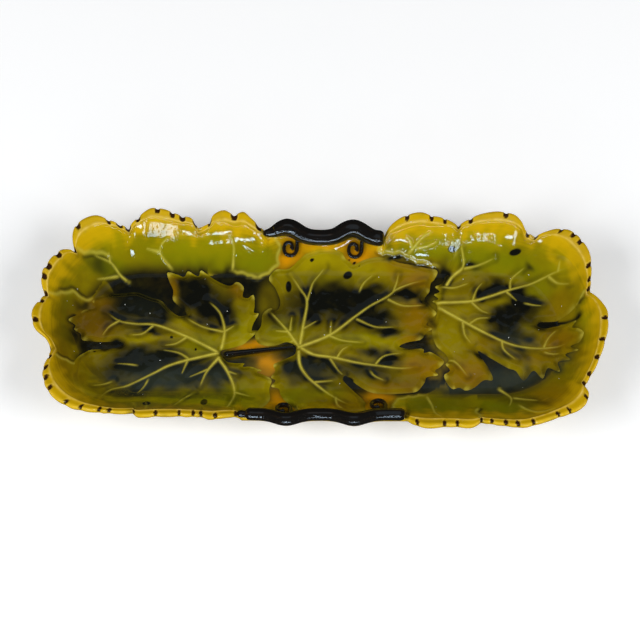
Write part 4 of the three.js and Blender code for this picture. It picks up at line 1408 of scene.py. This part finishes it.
def makeFoot():
    way = wayStops()[::2]
    rootX, outX, outY = spineRay(way)
    middle = foot["reach"] - foot["width"] / 2
    rings = []
    for offset, z in foot["profile"]:
        radius = middle + offset + 0.05 * np.sin(way / 9)
        rings.append(np.column_stack([rootX + outX * radius, outY * radius, np.full(len(way), z)]))
    numbers = np.arange(len(rings) * len(way)).reshape(len(rings), len(way))
    pairs = list(zip(numbers, np.roll(numbers, -1, 0)))
    faces = [ringFaces(second, first) for first, second in pairs]
    makePiece("footRing", np.vstack(rings), faces, footGlaze, {}, ["foot_ring"])


makeFoot()


# Stage, light and camera

stage = {
    "floorSize": 9.0,  # metres
    "floor": (0.95, 0.95, 0.95, 1),
    "floorRoughness": 0.9,
    "floorGlow": 0.22,
    "world": 0.02,
}


def makeStage():
    half = stage["floorSize"] / 2
    mesh = bpy.data.meshes.new("paleFloor")
    corners = [(-half, -half, 0), (half, -half, 0), (half, half, 0), (-half, half, 0)]
    mesh.from_pydata(corners, [], [(0, 1, 2, 3)])
    floor = bpy.data.objects.new("paleFloor", mesh)
    bpy.context.scene.collection.objects.link(floor)
    material, _, shader = newFinish("paleFloor")
    shader.inputs["Base Color"].default_value = stage["floor"]
    shader.inputs["Roughness"].default_value = stage["floorRoughness"]
    shader.inputs["Specular IOR Level"].default_value = 0.0
    shader.inputs["Emission Color"].default_value = (1, 1, 1, 1)
    shader.inputs["Emission Strength"].default_value = stage["floorGlow"]
    mesh.materials.append(material)
    floor.visible_glossy = False  # the glaze does not mirror it
    world = bpy.data.worlds.new("studio")
    bpy.context.scene.world = world
    world.use_nodes = True
    backdrop = world.node_tree.nodes["Background"]
    backdrop.inputs["Color"].default_value = (1, 1, 1, 1)
    backdrop.inputs["Strength"].default_value = stage["world"]


# name: place, aim, width, height in metres, watts, whether the glaze mirrors it
softboxes = {
    "leftBox": [(-1.8, -0.75, 1.5), (0, 0, 0), 1.5, 1.5, 44, False],
    "rightBox": [(1.8, -0.75, 1.5), (0, 0, 0), 1.5, 1.5, 42, False],
    "topCard": [(0, 0.135, 1.6), (0, 0.135, 0), 1.3, 1.17, 0.8, True],
    "frontStrip": [(0, -1.0, 0.15), (0, 0, 0.03), 1.0, 0.04, 2.0, True],
    "leftPane": [(-0.258, -1.45, 0.55), (0, 0, 0), 0.04, 0.18, 0.26, True],
    "leftWindow": [(-0.12, -1.45, 0.54), (0, 0, 0), 0.18, 0.03, 0.36, True],
    "leftSill": [(0.0, -1.45, 0.67), (0, 0, 0), 0.13, 0.035, 0.3, True],
    "rightWindow": [(0.1, -1.45, 0.94), (0, 0, 0), 0.08, 0.06, 0.34, True],
    "rightPane": [(0.145, -1.45, 0.7), (0, 0, 0), 0.016, 0.13, 0.13, True],
    "rightSlit": [(0.184, -1.45, 0.56), (0, 0, 0), 0.009, 0.11, 0.07, True],
    "sideWindow": [(-0.6, -1.45, 0.57), (0, 0, 0), 0.28, 0.05, 0.8, True],
}
coolWhite = (0.64, 0.82, 1.0)


def makeLights():
    for name, (spot, aim, width, height, watts, mirrored) in softboxes.items():
        lamp = bpy.data.lights.new(name, "AREA")
        lamp.shape = "RECTANGLE"
        lamp.size, lamp.size_y = width, height
        lamp.energy = watts
        if mirrored:
            lamp.color = coolWhite
        holder = bpy.data.objects.new(name, lamp)
        holder.location = spot
        holder.rotation_euler = (Vector(aim) - Vector(spot)).to_track_quat("-Z", "Y").to_euler()
        holder.visible_glossy = mirrored
        bpy.context.scene.collection.objects.link(holder)


view = {
    "aim": (0.0, -4.0, 22.0),
    "elevation": 65.0,
    "distance": 1500.0,
    "pixelsPerMm": 1.688,
    "imageSize": 640,
    "aimBelowMiddle": 10,  # pixels
    "sensor": 36.0,
}


def makeCamera():
    camera = bpy.data.cameras.new("viewCamera")
    camera.sensor_width = view["sensor"]
    camera.lens = view["pixelsPerMm"] * view["distance"] / view["imageSize"] * view["sensor"]
    camera.shift_y = view["aimBelowMiddle"] / view["imageSize"]
    holder = bpy.data.objects.new("viewCamera", camera)
    tilt = math.radians(view["elevation"])
    back = Vector((0, -math.cos(tilt), math.sin(tilt)))
    holder.location = (Vector(view["aim"]) + back * view["distance"]) * mm
    holder.rotation_euler = (-back).to_track_quat("-Z", "Y").to_euler()
    camera.clip_start, camera.clip_end = 0.05, 50
    bpy.context.scene.collection.objects.link(holder)
    bpy.context.scene.camera = holder


makeStage()
makeLights()
makeCamera()
bpy.context.scene.view_settings.view_transform = "Standard"
print("stage, lights and camera set")
